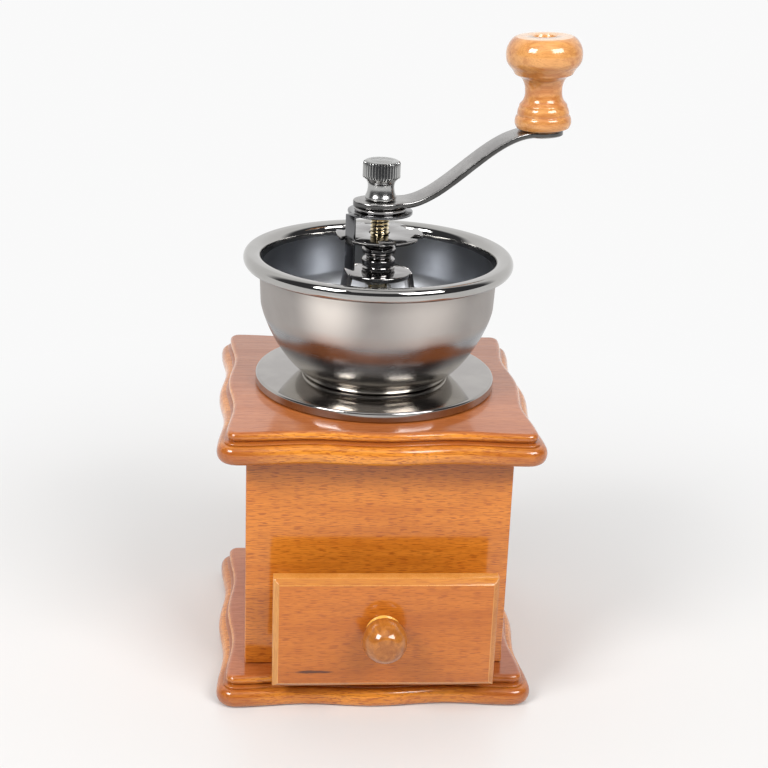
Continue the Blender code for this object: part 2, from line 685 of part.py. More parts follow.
def make_hopper():
    """The disc, the bowl with its rolled lip, and the ring burr in the bowl's floor."""
    top, edge = DISC_FOOT + DISC_THICKNESS, DISC_EDGE_RADIUS
    bend = edge * (1 - math.cos(math.pi / 4))
    loop = [
        (RING_HOLE, DISC_FOOT), (DISC_RADIUS, DISC_FOOT), (DISC_RADIUS, top - edge),
        (DISC_RADIUS - bend, top - bend), (DISC_RADIUS - edge, top), (RING_HOLE, top),
    ]
    disc = turned("flange_plate", loop, metal("flange_plate", roughness=0.2), FINE_SEGMENTS, bored=True)

    wall, belly = BOWL_WALL, BOWL_FOOT + BOWL_BELLY_HEIGHT
    knee = BOWL_FOOT + BOWL_FOOT_HEIGHT
    lip_middle = LIP_RADIUS - LIP_WIDTH / 2
    lip_height = BOWL_FOOT + BOWL_HEIGHT - LIP_THICKNESS / 2
    outer = bowl_curve(BOWL_FOOT_RADIUS, BOWL_BELLY_RADIUS, knee, belly)
    inner = bowl_curve(BOWL_FOOT_RADIUS - wall, BOWL_BELLY_RADIUS - wall, knee + wall, belly)
    lip = []
    for step in range(LIP_STEPS + 1):
        angle = math.radians(LIP_START_DEG + (LIP_END_DEG - LIP_START_DEG) * step / LIP_STEPS)
        reach = lip_middle + LIP_WIDTH / 2 * math.cos(angle)
        lip.append((reach, lip_height + LIP_THICKNESS / 2 * math.sin(angle)))
    loop = [
        (RING_HOLE, BOWL_FOOT), (BOWL_FOOT_RADIUS, BOWL_FOOT), *outer,
        (BOWL_NECK_RADIUS, lip_height - LIP_THICKNESS), *lip,
        (BOWL_NECK_RADIUS - wall, lip_height - LIP_THICKNESS / 2), *reversed(inner),
        (BOWL_FOOT_RADIUS - wall, BOWL_FOOT + wall), (RING_HOLE, BOWL_FOOT + wall),
    ]
    bowl = turned("hopper_bowl", loop, metal("hopper_bowl", roughness=0.35), FINE_SEGMENTS, bored=True)

    throat = RING_FOOT + (RING_TOP - RING_FOOT) * RING_THROAT_SHARE
    loop = [
        (RING_BODY_RADIUS, RING_FOOT), (RING_BODY_RADIUS, RING_SEAT), (RING_FLANGE_RADIUS, RING_SEAT),
        (RING_FLANGE_RADIUS, RING_TOP), (RING_MOUTH_RADIUS, RING_TOP), (RING_THROAT_RADIUS, throat),
        (RING_SKIRT_RADIUS, RING_FOOT),
    ]
    teeth = FINE_SEGMENTS // 3

    def tooth(index, angle):
        return RING_TOOTH_DEPTH * max(0.0, math.cos(teeth * angle)) if index in (5, 6) else 0.0

    ring = turned("outer_burr", loop, metal("outer_burr", CAST_IRON, 0.5), FINE_SEGMENTS, True, tooth)
    for piece, low, high in (
        (disc, DISC_FOOT, top), (bowl, BOWL_FOOT, BOWL_FOOT + wall), (ring, RING_SEAT, RING_TOP)
    ):
        for place in bolt_places():
            drill(piece, BOLT_HOLE, low, high, place, SMALL_SEGMENTS)


def make_bridge():
    """The bridge that stands over the mill on two legs, its bushing, and the bolts that hold it all."""
    turn = math.radians(BRIDGE_TURN_DEG)
    plate_low = BRIDGE_TOP - BRIDGE_STRAP
    foot_top = BRIDGE_FOOT + BRIDGE_STRAP
    shoulder = BRIDGE_DISC_RADIUS
    outer = [
        (shoulder, BRIDGE_TOP), (BRIDGE_FOOT_INNER, foot_top), (RING_FLANGE_RADIUS, foot_top),
        (RING_FLANGE_RADIUS, BRIDGE_FOOT), (BRIDGE_FOOT_INNER - BRIDGE_STRAP, BRIDGE_FOOT),
        (shoulder - BRIDGE_STRAP, plate_low),
    ]
    outline = outer + [(-x, z) for x, z in reversed(outer)]
    half = BRIDGE_STRAP_WIDTH / 2
    bridge = extruded("bridge", outline, -half, half, "XZ", metal("bridge"))
    bridge.rotation_euler = (0, 0, turn)
    profile = [(0, plate_low), (shoulder, plate_low), (shoulder, BRIDGE_TOP), (0, BRIDGE_TOP)]
    combine(bridge, turned("bridge_disc", profile, segments=ROUND_SEGMENTS), "UNION")
    drill(bridge, BUSHING_SPIGOT_RADIUS + FIT_GAP, plate_low, BRIDGE_TOP)
    for side in (-1, 1):
        drill(bridge, BOLT_HOLE, BRIDGE_FOOT, foot_top, (side * BRIDGE_BOLT_PLACE, 0), SMALL_SEGMENTS)

    foot, top = BUSHING_FOOT, BUSHING_FOOT + BUSHING_HEIGHT
    ring = foot + BUSHING_HEIGHT * BUSHING_GROOVE_SHARE
    groove, radius, chamfer = BUSHING_GROOVE, BUSHING_RADIUS, BUSHING_CHAMFER
    loop = [
        (SHAFT_HOLE, plate_low), (BUSHING_SPIGOT_RADIUS, plate_low), (BUSHING_SPIGOT_RADIUS, foot),
        (radius, foot), (radius, ring - groove), (radius - groove, ring), (radius, ring + groove),
        (radius, top - chamfer), (radius - chamfer, top), (SHAFT_HOLE, top),
    ]
    turned("bridge_bushing", loop, metal("bridge_bushing"), ROUND_SEGMENTS, bored=True)

    head_foot = BRIDGE_FOOT + BRIDGE_STRAP + FIT_GAP
    head_top = head_foot + BOLT_HEAD_HEIGHT
    washer_top = CASE_TOP - FIT_GAP
    nut_top = washer_top - WASHER_THICKNESS - FIT_GAP
    tail = nut_top - NUT_HEIGHT - BOLT_TAIL
    edge = BOLT_HEAD_HEIGHT / 3
    profile = [
        (0, tail), (BOLT_RADIUS, tail), (BOLT_RADIUS, head_foot), (BOLT_HEAD_RADIUS, head_foot),
        (BOLT_HEAD_RADIUS, head_top - edge), (BOLT_HEAD_RADIUS - edge, head_top), (0, head_top),
    ]
    for number, place in enumerate(bolt_places(), 1):
        bolt = turned(f"bridge_bolt_{number}", profile, metal(f"bridge_bolt_{number}"), SMALL_SEGMENTS)
        washer = ring_piece(
            f"bolt_washer_{number}", BOLT_HOLE, WASHER_RADIUS, washer_top - WASHER_THICKNESS, washer_top,
            metal(f"bolt_washer_{number}", BRIGHT_STEEL), SMALL_SEGMENTS,
        )
        nut = hex_nut(
            f"bolt_nut_{number}", NUT_ACROSS_FLATS, BOLT_HOLE, nut_top - NUT_HEIGHT, nut_top,
            metal(f"bolt_nut_{number}", BRIGHT_STEEL),
        )
        for piece in (bolt, washer, nut):
            piece.location = (*place, 0)


def make_lower_strap():
    """The strap under the top board with the hole that steadies the shaft's lower end."""
    bar_low = STRAP_BAR_TOP - STRAP_THICKNESS
    ear_low = STRAP_TOP - STRAP_THICKNESS
    outside = STRAP_LEG_PLACE + STRAP_THICKNESS
    half = [
        (STRAP_SPAN, STRAP_TOP), (STRAP_LEG_PLACE, STRAP_TOP), (STRAP_LEG_PLACE, STRAP_BAR_TOP),
    ]
    under = [(outside, bar_low), (outside, ear_low), (STRAP_SPAN, ear_low)]
    outline = half + [(-y, z) for y, z in reversed(half)]
    outline += [(-y, z) for y, z in reversed(under)] + under
    reach = STRAP_WIDTH / 2
    strap = extruded("lower_strap", outline, -reach, reach, "YZ", metal("lower_strap", BRIGHT_STEEL))
    drill(strap, JOURNAL_HOLE, bar_low, STRAP_BAR_TOP)
    middle = (outside + STRAP_SPAN) / 2
    head_foot = ear_low - FIT_GAP - STRAP_SCREW_HEAD_HEIGHT
    tip = CASE_TOP + STRAP_SCREW_GRIP
    top_board = bpy.data.objects["top_board"]
    for number, side in enumerate((-1, 1), 1):
        place = (0, side * middle)
        drill(strap, STRAP_SCREW_RADIUS + BOLT_GAP, ear_low, STRAP_TOP, place, SCREW_SEGMENTS)
        pilot(top_board, STRAP_SCREW_RADIUS, CASE_TOP, tip, place)
        profile = wood_screw_profile(
            head_foot, STRAP_SCREW_HEAD_HEIGHT, STRAP_SCREW_HEAD_RADIUS,
            STRAP_SCREW_RADIUS, tip - head_foot, STRAP_SCREW_POINT, countersunk=False,
        )
        name = f"strap_screw_{number}"
        screw = turned(name, profile, metal(name, BRIGHT_STEEL), SCREW_SEGMENTS)
        screw.location = (*place, 0)


def cone_ripple(index, angle):
    """Fine teeth round the cone's skirt and twisted crushing ribs above them."""
    if index in (2, 3):
        return -CONE_TOOTH_DEPTH * max(0.0, math.cos(FINE_SEGMENTS // 3 * angle))
    if index in (4, 5):
        return -CONE_RIB_DEPTH * (0.5 + 0.5 * math.cos(4 * angle + (index - 4) * math.pi / 2))
    return 0.0


def spring_points():
    """The centreline of the spring, which ends in a short straight run at each end."""
    wire = SPRING_WIRE_RADIUS
    low = CONE_TOP + FIT_GAP + SPRING_WASHER_THICKNESS + FIT_GAP
    high = BRIDGE_TOP - BRIDGE_STRAP - FIT_GAP
    first, last = low + 2 * wire, high - 2 * wire
    count = SPRING_CURLS * POINTS_PER_CURL
    points = []
    for step in range(count + 1):
        angle = 2 * math.pi * step / POINTS_PER_CURL
        height = first + (last - first) * step / count
        points.append((SPRING_MEAN_RADIUS * math.cos(angle), SPRING_MEAN_RADIUS * math.sin(angle), height))
    start, end = points[0], points[-1]
    return [(start[0], start[1], low), *points, (end[0], end[1], high)]


def make_spring():
    """The spring that presses the cone down. It is one unbroken wire."""
    points = spring_points()
    curve = bpy.data.curves.new("shaft_spring", "CURVE")
    curve.dimensions = "3D"
    line = curve.splines.new("POLY")
    line.points.add(len(points) - 1)
    for point, place in zip(line.points, points):
        point.co = (*place, 1)
    curve.bevel_depth = SPRING_WIRE_RADIUS
    curve.bevel_resolution = 1
    curve.use_fill_caps = True
    curve.materials.append(metal("shaft_spring", BRIGHT_STEEL))
    bpy.context.scene.collection.objects.link(bpy.data.objects.new("shaft_spring", curve))
    far = POINTS_PER_CURL // 2
    gap = min(
        (Vector(one) - Vector(other)).length
        for number, one in enumerate(points)
        for other in points[number + far:]
    )
    print(f"shaft_spring: least gap to itself {(gap - 2 * SPRING_WIRE_RADIUS) * 1000:.2f} mm")


def make_spindle(crank):
    """The shaft with the cone burr, its nut and the washer that the spring stands on."""
    chamfer = SHAFT_CHAMFER
    shoulder = CONE_NUT_FOOT - FIT_GAP
    profile = [
        (0, SHAFT_FOOT), (JOURNAL_RADIUS - chamfer, SHAFT_FOOT), (JOURNAL_RADIUS, SHAFT_FOOT + chamfer),
        (JOURNAL_RADIUS, shoulder), (SHAFT_RADIUS, shoulder), (SHAFT_RADIUS, SHAFT_TOP - chamfer),
        (SHAFT_RADIUS - chamfer, SHAFT_TOP), (0, SHAFT_TOP),
    ]
    shaft = turned("main_shaft", profile, metal("main_shaft", BRASS_PLATE), SMALL_SEGMENTS)

    skirt, shoulder_radius, top_radius = CONE_SKIRT_RADIUS, CONE_SHOULDER_RADIUS, CONE_TOP_RADIUS
    levels = [CONE_FOOT + CONE_HEIGHT * share for _, share in CONE_PROFILE_SHARES]
    radii = [skirt - (skirt - shoulder_radius) * share for share, _ in CONE_PROFILE_SHARES]
    loop = [
        (SHAFT_HOLE, CONE_FOOT), (skirt - CONE_TOOTH_DEPTH, CONE_FOOT),
        (radii[0], levels[0]), (radii[1], levels[1]), (radii[2], levels[2]), (radii[3], levels[3]),
        (top_radius, CONE_TOP), (SHAFT_HOLE, CONE_TOP),
    ]
    cone = turned("inner_burr", loop, metal("inner_burr", CAST_IRON, 0.5), FINE_SEGMENTS, True, cone_ripple)
    nut = hex_nut(
        "burr_nut", CONE_NUT_ACROSS_FLATS, SHAFT_HOLE, CONE_NUT_FOOT, CONE_NUT_TOP,
        metal("burr_nut", BRIGHT_STEEL),
    )
    washer_low = CONE_TOP + FIT_GAP
    washer = ring_piece(
        "spring_washer", SHAFT_HOLE, SPRING_WASHER_RADIUS, washer_low,
        washer_low + SPRING_WASHER_THICKNESS, metal("spring_washer", BRIGHT_STEEL), SMALL_SEGMENTS,
    )
    hang(crank, shaft, cone, nut, washer)


def make_adjuster(crank):
    """The notched wheel that sets the grind, the clip that locks it, and the spacer above."""
    bead_low = WHEEL_FOOT + WHEEL_FOOT_HEIGHT
    bead_high = bead_low + WHEEL_BEAD_HEIGHT
    plate_top = WHEEL_PLATE + WHEEL_THICKNESS
    bead = []
    for degrees in (-55, 0, 55):
        angle = math.radians(degrees)
        swell = (WHEEL_BEAD_RADIUS - WHEEL_FOOT_RADIUS) * math.cos(angle)
        height = (bead_low + bead_high) / 2 + WHEEL_BEAD_HEIGHT / 2 * math.sin(angle)
        bead.append((WHEEL_FOOT_RADIUS + swell, height))
    loop = [
        (SHAFT_HOLE, WHEEL_FOOT), (WHEEL_FOOT_RADIUS, WHEEL_FOOT), (WHEEL_FOOT_RADIUS, bead_low), *bead,
        (WHEEL_NECK_RADIUS, bead_high), (WHEEL_NECK_RADIUS, WHEEL_PLATE), (WHEEL_RADIUS, WHEEL_PLATE),
        (WHEEL_RADIUS, plate_top), (SHAFT_HOLE, plate_top),
    ]
    wheel = turned("adjusting_wheel", loop, metal("adjusting_wheel", roughness=0.15), FINE_SEGMENTS, True)
    half, floor = WHEEL_NOTCH_WIDTH / 2, WHEEL_RADIUS - WHEEL_NOTCH_DEPTH
    for number in range(WHEEL_NOTCHES):
        corner = (floor, -half, WHEEL_PLATE - OVERRUN / 2)
        opposite = (WHEEL_RADIUS + OVERRUN, half, plate_top + OVERRUN)
        notch = block(f"adjusting_wheel_notch_{number}", corner, opposite)
        notch.rotation_euler = (0, 0, 2 * math.pi * number / WHEEL_NOTCHES)
        combine(wheel, notch, "DIFFERENCE")

    top = CLIP_FOOT + CLIP_THICKNESS
    outside = CLIP_LEG_PLACE + CLIP_THICKNESS / 2
    inside = outside - CLIP_THICKNESS
    root = (SHAFT_HOLE + CLIP_RADIUS) / 2
    outline = [
        (root, CLIP_FOOT), (inside, CLIP_FOOT), (inside, top - CLIP_LEG_LENGTH),
        (outside, top - CLIP_LEG_LENGTH), (outside, top), (root, top),
    ]
    reach = CLIP_LEG_WIDTH / 2
    clip = extruded("lock_clip", outline, -reach, reach, "XZ", metal("lock_clip"))
    profile = [(0, CLIP_FOOT), (CLIP_RADIUS, CLIP_FOOT), (CLIP_RADIUS, top), (0, top)]
    combine(clip, turned("lock_clip_disc", profile, segments=ROUND_SEGMENTS), "UNION")
    drill(clip, SHAFT_HOLE, CLIP_FOOT, top)
    for piece in (wheel, clip):
        piece.rotation_euler = (0, 0, math.radians(CLIP_TURN_DEG))
    spacer = ring_piece(
        "spacer_washer", SHAFT_HOLE, SPACER_RADIUS, SPACER_FOOT, SPACER_FOOT + SPACER_THICKNESS,
        metal("spacer_washer"),
    )
    hang(crank, wheel, clip, spacer)


def arm_path(along):
    """Height and slope of the arm's underside above its eye, at a distance from the shaft."""
    start, end = ARM_BEND_START, ARM_LENGTH - ARM_BEND_TO_PAD
    lean = math.tan(math.radians(ARM_LEAN_DEG))
    rise = ARM_RISE - lean * (ARM_LENGTH - end)
    if along <= start:
        return 0.0, 0.0
    if along >= end:
        return rise + lean * (along - end), lean
    length = end - start
    share = (along - start) / length
    height = rise * share**2 * (3 - 2 * share) + lean * length * share**2 * (share - 1)
    slope = rise / length * 6 * share * (1 - share) + lean * share * (3 * share - 2)
    return height, slope


def arm_stations():
    """Distance from the shaft and half width of the arm, from the eye's far edge to the pad's."""
    stations = []
    blend = math.radians(EYE_BLEND_DEG)
    for step in range(ARM_END_STEPS + 1):
        angle = math.pi - (step + 0.5) / (ARM_END_STEPS + 0.5) * (math.pi - blend)
        stations.append((ARM_EYE_REACH * math.cos(angle), ARM_EYE_HALF_WIDTH * math.sin(angle)))
    blend_start, wide = stations[-1]
    opening = math.asin(ARM_HALF_WIDTH / ARM_PAD_RADIUS)
    bar_end = ARM_LENGTH - ARM_PAD_RADIUS * math.cos(opening)
    for step in range(1, ARM_STEPS + 1):
        along = blend_start + (bar_end - blend_start) * step / ARM_STEPS
        share = min(1.0, (along - blend_start) / EYE_BLEND_LENGTH)
        ease = share**2 * (3 - 2 * share)
        stations.append((along, wide + (ARM_HALF_WIDTH - wide) * ease))
    for step in range(1, ARM_END_STEPS + 1):
        angle = math.pi - opening - step / (ARM_END_STEPS + 0.5) * (math.pi - opening)
        along = ARM_LENGTH + ARM_PAD_RADIUS * math.cos(angle)
        stations.append((along, ARM_PAD_RADIUS * math.sin(angle)))
    return stations


def make_crank(crank):
    """The bent arm, with a hole for the shaft and one for the knob's pin."""
    bm = bmesh.new()
    cut = ARM_EDGE_CHAMFER
    top, shoulder = ARM_THICKNESS, ARM_THICKNESS - cut
    rings = []
    for along, half in arm_stations():
        height, slope = arm_path(along)
        normal = Vector((-slope, 0, 1)).normalized()
        origin = Vector((along, 0, ARM_FOOT + height))
        inner = half - cut
        section = (
            (-inner, 0), (-half, cut), (-half, shoulder), (-inner, top),
            (inner, top), (half, shoulder), (half, cut), (inner, 0),
        )
        rings.append([bm.verts.new(origin + Vector((0, across, 0)) + normal * up) for across, up in section])
    skin(bm, rings, joined=False)
    arm = from_bmesh("crank_arm", bm, metal("crank_arm", roughness=0.3), smooth_deg=35)
    arm.rotation_euler = (0, 0, math.radians(ARM_TURN_DEG))
    drill(arm, SHAFT_HOLE, ARM_FOOT, ARM_FOOT + ARM_THICKNESS)
    lean = math.radians(-ARM_LEAN_DEG)
    pin_hole = drill(arm, PIN_HOLE, 0, ARM_THICKNESS, segments=SMALL_SEGMENTS)
    pin_hole.location = (ARM_LENGTH, 0, ARM_FOOT + ARM_RISE)
    pin_hole.rotation_euler = (0, lean, 0)
    hang(crank, arm)

    place = (*around(ARM_LENGTH, ARM_TURN_DEG), ARM_FOOT + ARM_RISE)
    return empty("knob_axis", crank, place, (0, lean, math.radians(ARM_TURN_DEG)))


def make_knob(axis):
    """The turned knob, its washer, and the riveted pin that it spins on, in the pin's own frame."""
    foot = ARM_THICKNESS + FIT_GAP
    washer_seat = foot + PIN_WASHER_THICKNESS + FIT_GAP
    washer_room = PIN_WASHER_RADIUS + FIT_GAP
    recess = foot + HANDLE_HEIGHT - HANDLE_RECESS_DEPTH
    side = [(HANDLE_RADIUS * wide, foot + HANDLE_HEIGHT * up) for wide, up in HANDLE_PROFILE_SHARES]
    loop = [
        (PIN_HOLE, washer_seat), (washer_room, washer_seat), (washer_room, foot), *side,
        (HANDLE_RECESS_RADIUS, foot + HANDLE_HEIGHT), (HANDLE_RECESS_RADIUS, recess), (PIN_HOLE, recess),
    ]
    knob = turned("crank_knob", loop, wood("crank_knob"), ROUND_SEGMENTS, bored=True)
    washer = ring_piece(
        "knob_washer", PIN_HOLE, PIN_WASHER_RADIUS, foot, foot + PIN_WASHER_THICKNESS,
        metal("knob_washer"), SMALL_SEGMENTS,
    )
    head_low = recess + FIT_GAP
    head_top = head_low + PIN_HEAD_HEIGHT
    edge = PIN_HEAD_HEIGHT / 3
    rivet = -FIT_GAP - PIN_RIVET_HEIGHT
    profile = [
        (0, rivet), (PIN_RIVET_RADIUS - edge, rivet), (PIN_RIVET_RADIUS, -FIT_GAP), (PIN_RADIUS, -FIT_GAP),
        (PIN_RADIUS, head_low), (PIN_HEAD_RADIUS, head_low), (PIN_HEAD_RADIUS, head_top - edge),
        (PIN_HEAD_RADIUS - edge, head_top), (0, head_top),
    ]
    pin = turned("knob_pin", profile, metal("knob_pin", BRIGHT_STEEL), SMALL_SEGMENTS)
    hang(axis, knob, washer, pin)


def make_thumb_nut(crank):
    """The knurled nut that clamps the crank arm, with a blind hole for the shaft."""
    foot = THUMB_FOOT
    bore_top = SHAFT_TOP + FIT_GAP
    body = [(THUMB_RADIUS * wide, foot + THUMB_HEIGHT * up) for wide, up in THUMB_PROFILE_SHARES]
    knurl_low = foot + THUMB_HEIGHT * THUMB_KNURL_START_SHARE
    knurl_high = foot + THUMB_HEIGHT * THUMB_KNURL_END_SHARE
    top = foot + THUMB_HEIGHT
    profile = [
        (0, bore_top), (SHAFT_HOLE, bore_top), (SHAFT_HOLE, foot), *body,
        (THUMB_RADIUS, knurl_low), (THUMB_RADIUS, knurl_high),
        (THUMB_RADIUS * THUMB_TOP_RADIUS_SHARE, top), (0, top),
    ]
    knurled = (len(profile) - 4, len(profile) - 3)

    def knurl(index, angle):
        return THUMB_KNURL_DEPTH * (math.cos(THUMB_KNURLS * angle) - 1) / 2 if index in knurled else 0.0

    nut = turned("thumb_nut", profile, metal("thumb_nut"), 2 * THUMB_KNURLS, ripple=knurl)
    hang(crank, nut)


def main():
    """Build the grinder."""
    clear_scene()
    make_case()
    make_drawer()
    make_hopper()
    make_bridge()
    make_lower_strap()
    crank = empty("crank_axis")
    make_spindle(crank)
    make_spring()
    make_adjuster(crank)
    axis = make_crank(crank)
    make_knob(axis)
    make_thumb_nut(crank)


if __name__ == "__main__":
    main()
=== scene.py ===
"""Fine wood and metal pieces, finishes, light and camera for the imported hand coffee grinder.

Metres, +Z up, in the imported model's own frame. Each sub-assembly is a class: its fields are its sizes,
its methods model its pieces and give them their finish. Profiles run from the foot of a piece upwards.
"""

import logging
import math
from collections.abc import Callable, Sequence
from dataclasses import dataclass, replace
from enum import Enum

import bmesh
import bpy
from mathutils import Euler, Matrix, Vector
from mathutils.kdtree import KDTree


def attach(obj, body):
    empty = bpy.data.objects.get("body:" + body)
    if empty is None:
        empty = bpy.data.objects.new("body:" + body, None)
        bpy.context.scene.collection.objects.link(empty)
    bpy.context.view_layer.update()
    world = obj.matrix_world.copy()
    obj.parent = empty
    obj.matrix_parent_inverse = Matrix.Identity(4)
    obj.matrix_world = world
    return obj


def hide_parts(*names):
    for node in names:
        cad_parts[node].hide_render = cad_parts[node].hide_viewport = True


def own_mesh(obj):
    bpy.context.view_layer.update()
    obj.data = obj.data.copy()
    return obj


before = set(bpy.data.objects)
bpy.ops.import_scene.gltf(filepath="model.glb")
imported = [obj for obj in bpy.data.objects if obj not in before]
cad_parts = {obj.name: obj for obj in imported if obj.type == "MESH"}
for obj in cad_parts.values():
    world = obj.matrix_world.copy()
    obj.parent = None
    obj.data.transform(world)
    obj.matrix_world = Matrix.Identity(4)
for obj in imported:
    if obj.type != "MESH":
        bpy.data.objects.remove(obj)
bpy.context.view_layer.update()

Point = tuple[float, ...]
Piece = bpy.types.Object
Face = bpy.types.MeshPolygon
Socket = bpy.types.NodeSocket

log = logging.getLogger("grinder")

MERGE = 1e-6
SMOOTH_DEG = 35
CURVED_DEG = 50
FINE_STEPS = 144
ROUND_STEPS = 96
SMALL_STEPS = 48
PAST = 0.002  # how far a drill or a cutter runs past the piece
FLAT_DEG = 1  # triangles that meet flatter than this are one face


# Modelling by hand: select, add, shape, finish


def deselect_all() -> None:
    """Leave object mode with nothing selected."""
    if bpy.context.mode != "OBJECT":
        bpy.ops.object.mode_set(mode="OBJECT")
    bpy.ops.object.select_all(action="DESELECT")


def pick(piece: Piece) -> None:
    """Select one piece alone and make it active.

    Args:
        piece: The piece.
    """
    deselect_all()
    piece.select_set(True)
    bpy.context.view_layer.objects.active = piece


def start_outline(name: str, points: Sequence[Point], filled: bool) -> Piece:
    """Add a circle and lay its vertices on an outline.

    Args:
        name: The new piece's name.
        points: The outline, as points in space.
        filled: Whether the outline is one face.

    Returns:
        The new piece, in edit mode with all of it selected.
    """
    deselect_all()
    fill = "NGON" if filled else "NOTHING"
    bpy.ops.mesh.primitive_circle_add(vertices=len(points), radius=0.01, fill_type=fill)
    piece = bpy.context.object
    piece.name = piece.data.name = name
    for vertex, point in zip(piece.data.vertices, points):
        vertex.co = point
    bpy.ops.object.mode_set(mode="EDIT")
    bpy.ops.mesh.select_all(action="SELECT")
    return piece


def close_up() -> None:
    """Merge the doubles of the piece in edit mode, turn its faces out and leave edit mode."""
    bpy.ops.mesh.select_all(action="SELECT")
    bpy.ops.mesh.remove_doubles(threshold=MERGE)
    bpy.ops.mesh.normals_make_consistent(inside=False)
    bpy.ops.object.mode_set(mode="OBJECT")


def turned(
    name: str, profile: Sequence[Point], steps: int = ROUND_STEPS, closed: bool = False,
    place: Matrix | None = None,
) -> Piece:
    """Turn a profile about an axis, as on a lathe.

    Args:
        name: The new piece's name.
        profile: Points of (radius, height).
        steps: How many steps the turn takes.
        closed: Whether the profile is a loop round a bore. Otherwise both its ends lie on the axis.
        place: The frame whose Z is the axis, if that isn't the world's.

    Returns:
        The turned piece.
    """
    place = place or Matrix.Identity(4)
    points = [tuple(place @ Vector((radius, 0, height))) for radius, height in profile]
    piece = start_outline(name, points, False)
    if not closed:
        bpy.ops.mesh.select_all(action="DESELECT")
        bpy.ops.mesh.select_mode(type="EDGE")
        mesh = bmesh.from_edit_mesh(piece.data)
        ends = {0, len(profile) - 1}
        for edge in mesh.edges:
            edge.select_set({vertex.index for vertex in edge.verts} == ends)
        bmesh.update_edit_mesh(piece.data)
        bpy.ops.mesh.delete(type="EDGE_FACE")
        bpy.ops.mesh.select_mode(type="VERT")
        bpy.ops.mesh.select_all(action="SELECT")
    axis = place.to_3x3() @ Vector((0, 0, 1))
    bpy.ops.mesh.spin(steps=steps, angle=2 * math.pi, center=place.translation, axis=axis)
    close_up()
    return piece


def lofted(name: str, rings: Sequence[Sequence[Point]]) -> Piece:
    """Extrude a filled outline from ring to ring.

    Args:
        name: The new piece's name.
        rings: Outlines with the same number of points, in order.

    Returns:
        The lofted piece, closed at both ends.
    """
    piece = start_outline(name, rings[0], True)
    bpy.ops.mesh.select_mode(type="FACE")
    for last, ring in zip(rings, rings[1:]):
        tree = KDTree(len(last))
        for number, point in enumerate(last):
            tree.insert(point, number)
        tree.balance()
        bpy.ops.mesh.extrude_region_move()
        mesh = bmesh.from_edit_mesh(piece.data)
        cap = next(face for face in mesh.faces if face.select)
        for vertex in cap.verts:
            vertex.co = ring[tree.find(vertex.co)[1]]
        bmesh.update_edit_mesh(piece.data)
    close_up()
    return piece


def apply(piece: Piece, kind: str, **settings: object) -> None:
    """Add a modifier and apply it.

    Args:
        piece: The piece.
        kind: The modifier's type.
        settings: Its settings.
    """
    pick(piece)
    modifier = piece.modifiers.new(kind.lower(), kind)
    for name, value in settings.items():
        setattr(modifier, name, value)
    bpy.ops.object.modifier_apply(modifier=modifier.name)


def soften(piece: Piece, width: float, segments: int = 3, angle_deg: float = 30) -> None:
    """Round the edges of a piece that are sharper than an angle.

    Args:
        piece: The piece.
        width: How far the rounding reaches from an edge.
        segments: Facets across the rounding.
        angle_deg: The angle past which an edge counts as sharp.
    """
    angle = math.radians(angle_deg)
    apply(piece, "BEVEL", width=width, segments=segments, limit_method="ANGLE", angle_limit=angle)


def smooth(piece: Piece, angle_deg: float) -> None:
    """Shade a piece smooth, apart from its sharp edges."""
    pick(piece)
    bpy.ops.object.shade_smooth_by_angle(angle=math.radians(angle_deg))


def cut(piece: Piece, tool: Piece, operation: str = "DIFFERENCE") -> None:
    """Cut a piece with a tool, or join the tool to it, and delete the tool."""
    apply(piece, "BOOLEAN", object=tool, operation=operation, solver="EXACT")
    bpy.data.objects.remove(tool)


def drill(piece: Piece, radius: float, low: float, high: float, place: Matrix | None = None) -> None:
    """Drill a hole through a piece.

    Args:
        piece: The piece.
        radius: The hole's radius.
        low: Where the drill starts along the axis.
        high: Where it ends.
        place: The frame whose Z is the hole's axis, if that isn't the world's.
    """
    bit = [(0, low), (radius, low), (radius, high), (0, high)]
    cut(piece, turned("bit", bit, SMALL_STEPS, place=place))


def block(name: str, low: Point, high: Point) -> Piece:
    """Add a box.

    Args:
        name: The new piece's name.
        low: Its lowest corner.
        high: Its highest corner.

    Returns:
        The box.
    """
    deselect_all()
    middle = (Vector(low) + Vector(high)) / 2
    bpy.ops.mesh.primitive_cube_add(size=1, location=middle, scale=Vector(high) - Vector(low))
    bpy.ops.object.transform_apply(location=True, rotation=True, scale=True)
    piece = bpy.context.object
    piece.name = piece.data.name = name
    return piece


def turn(piece: Piece, degrees: float) -> None:
    """Turn a piece's mesh about the world's Z."""
    piece.data.transform(Matrix.Rotation(math.radians(degrees), 4, "Z"))


def copied(node: str, name: str) -> Piece:
    """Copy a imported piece, with its triangles merged and its flat faces joined.

    Args:
        node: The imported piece.
        name: The copy's name.

    Returns:
        The copy, with a mesh of its own.
    """
    piece = bpy.data.objects.new(name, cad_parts[node].data.copy())
    bpy.context.scene.collection.objects.link(piece)
    piece.data.name = name
    pick(piece)
    bpy.ops.mesh.customdata_custom_splitnormals_clear()
    bpy.ops.object.mode_set(mode="EDIT")
    bpy.ops.mesh.select_all(action="SELECT")
    bpy.ops.mesh.remove_doubles(threshold=MERGE)
    bpy.ops.mesh.dissolve_limited(angle_limit=math.radians(FLAT_DEG))
    close_up()
    return piece


def reshape(piece: Piece, move: Callable[[Vector], Vector]) -> None:
    """Move each vertex of a piece.

    Args:
        piece: The piece.
        move: Where a vertex goes from where it is.
    """
    for vertex in piece.data.vertices:
        vertex.co = move(vertex.co)
    piece.data.update()


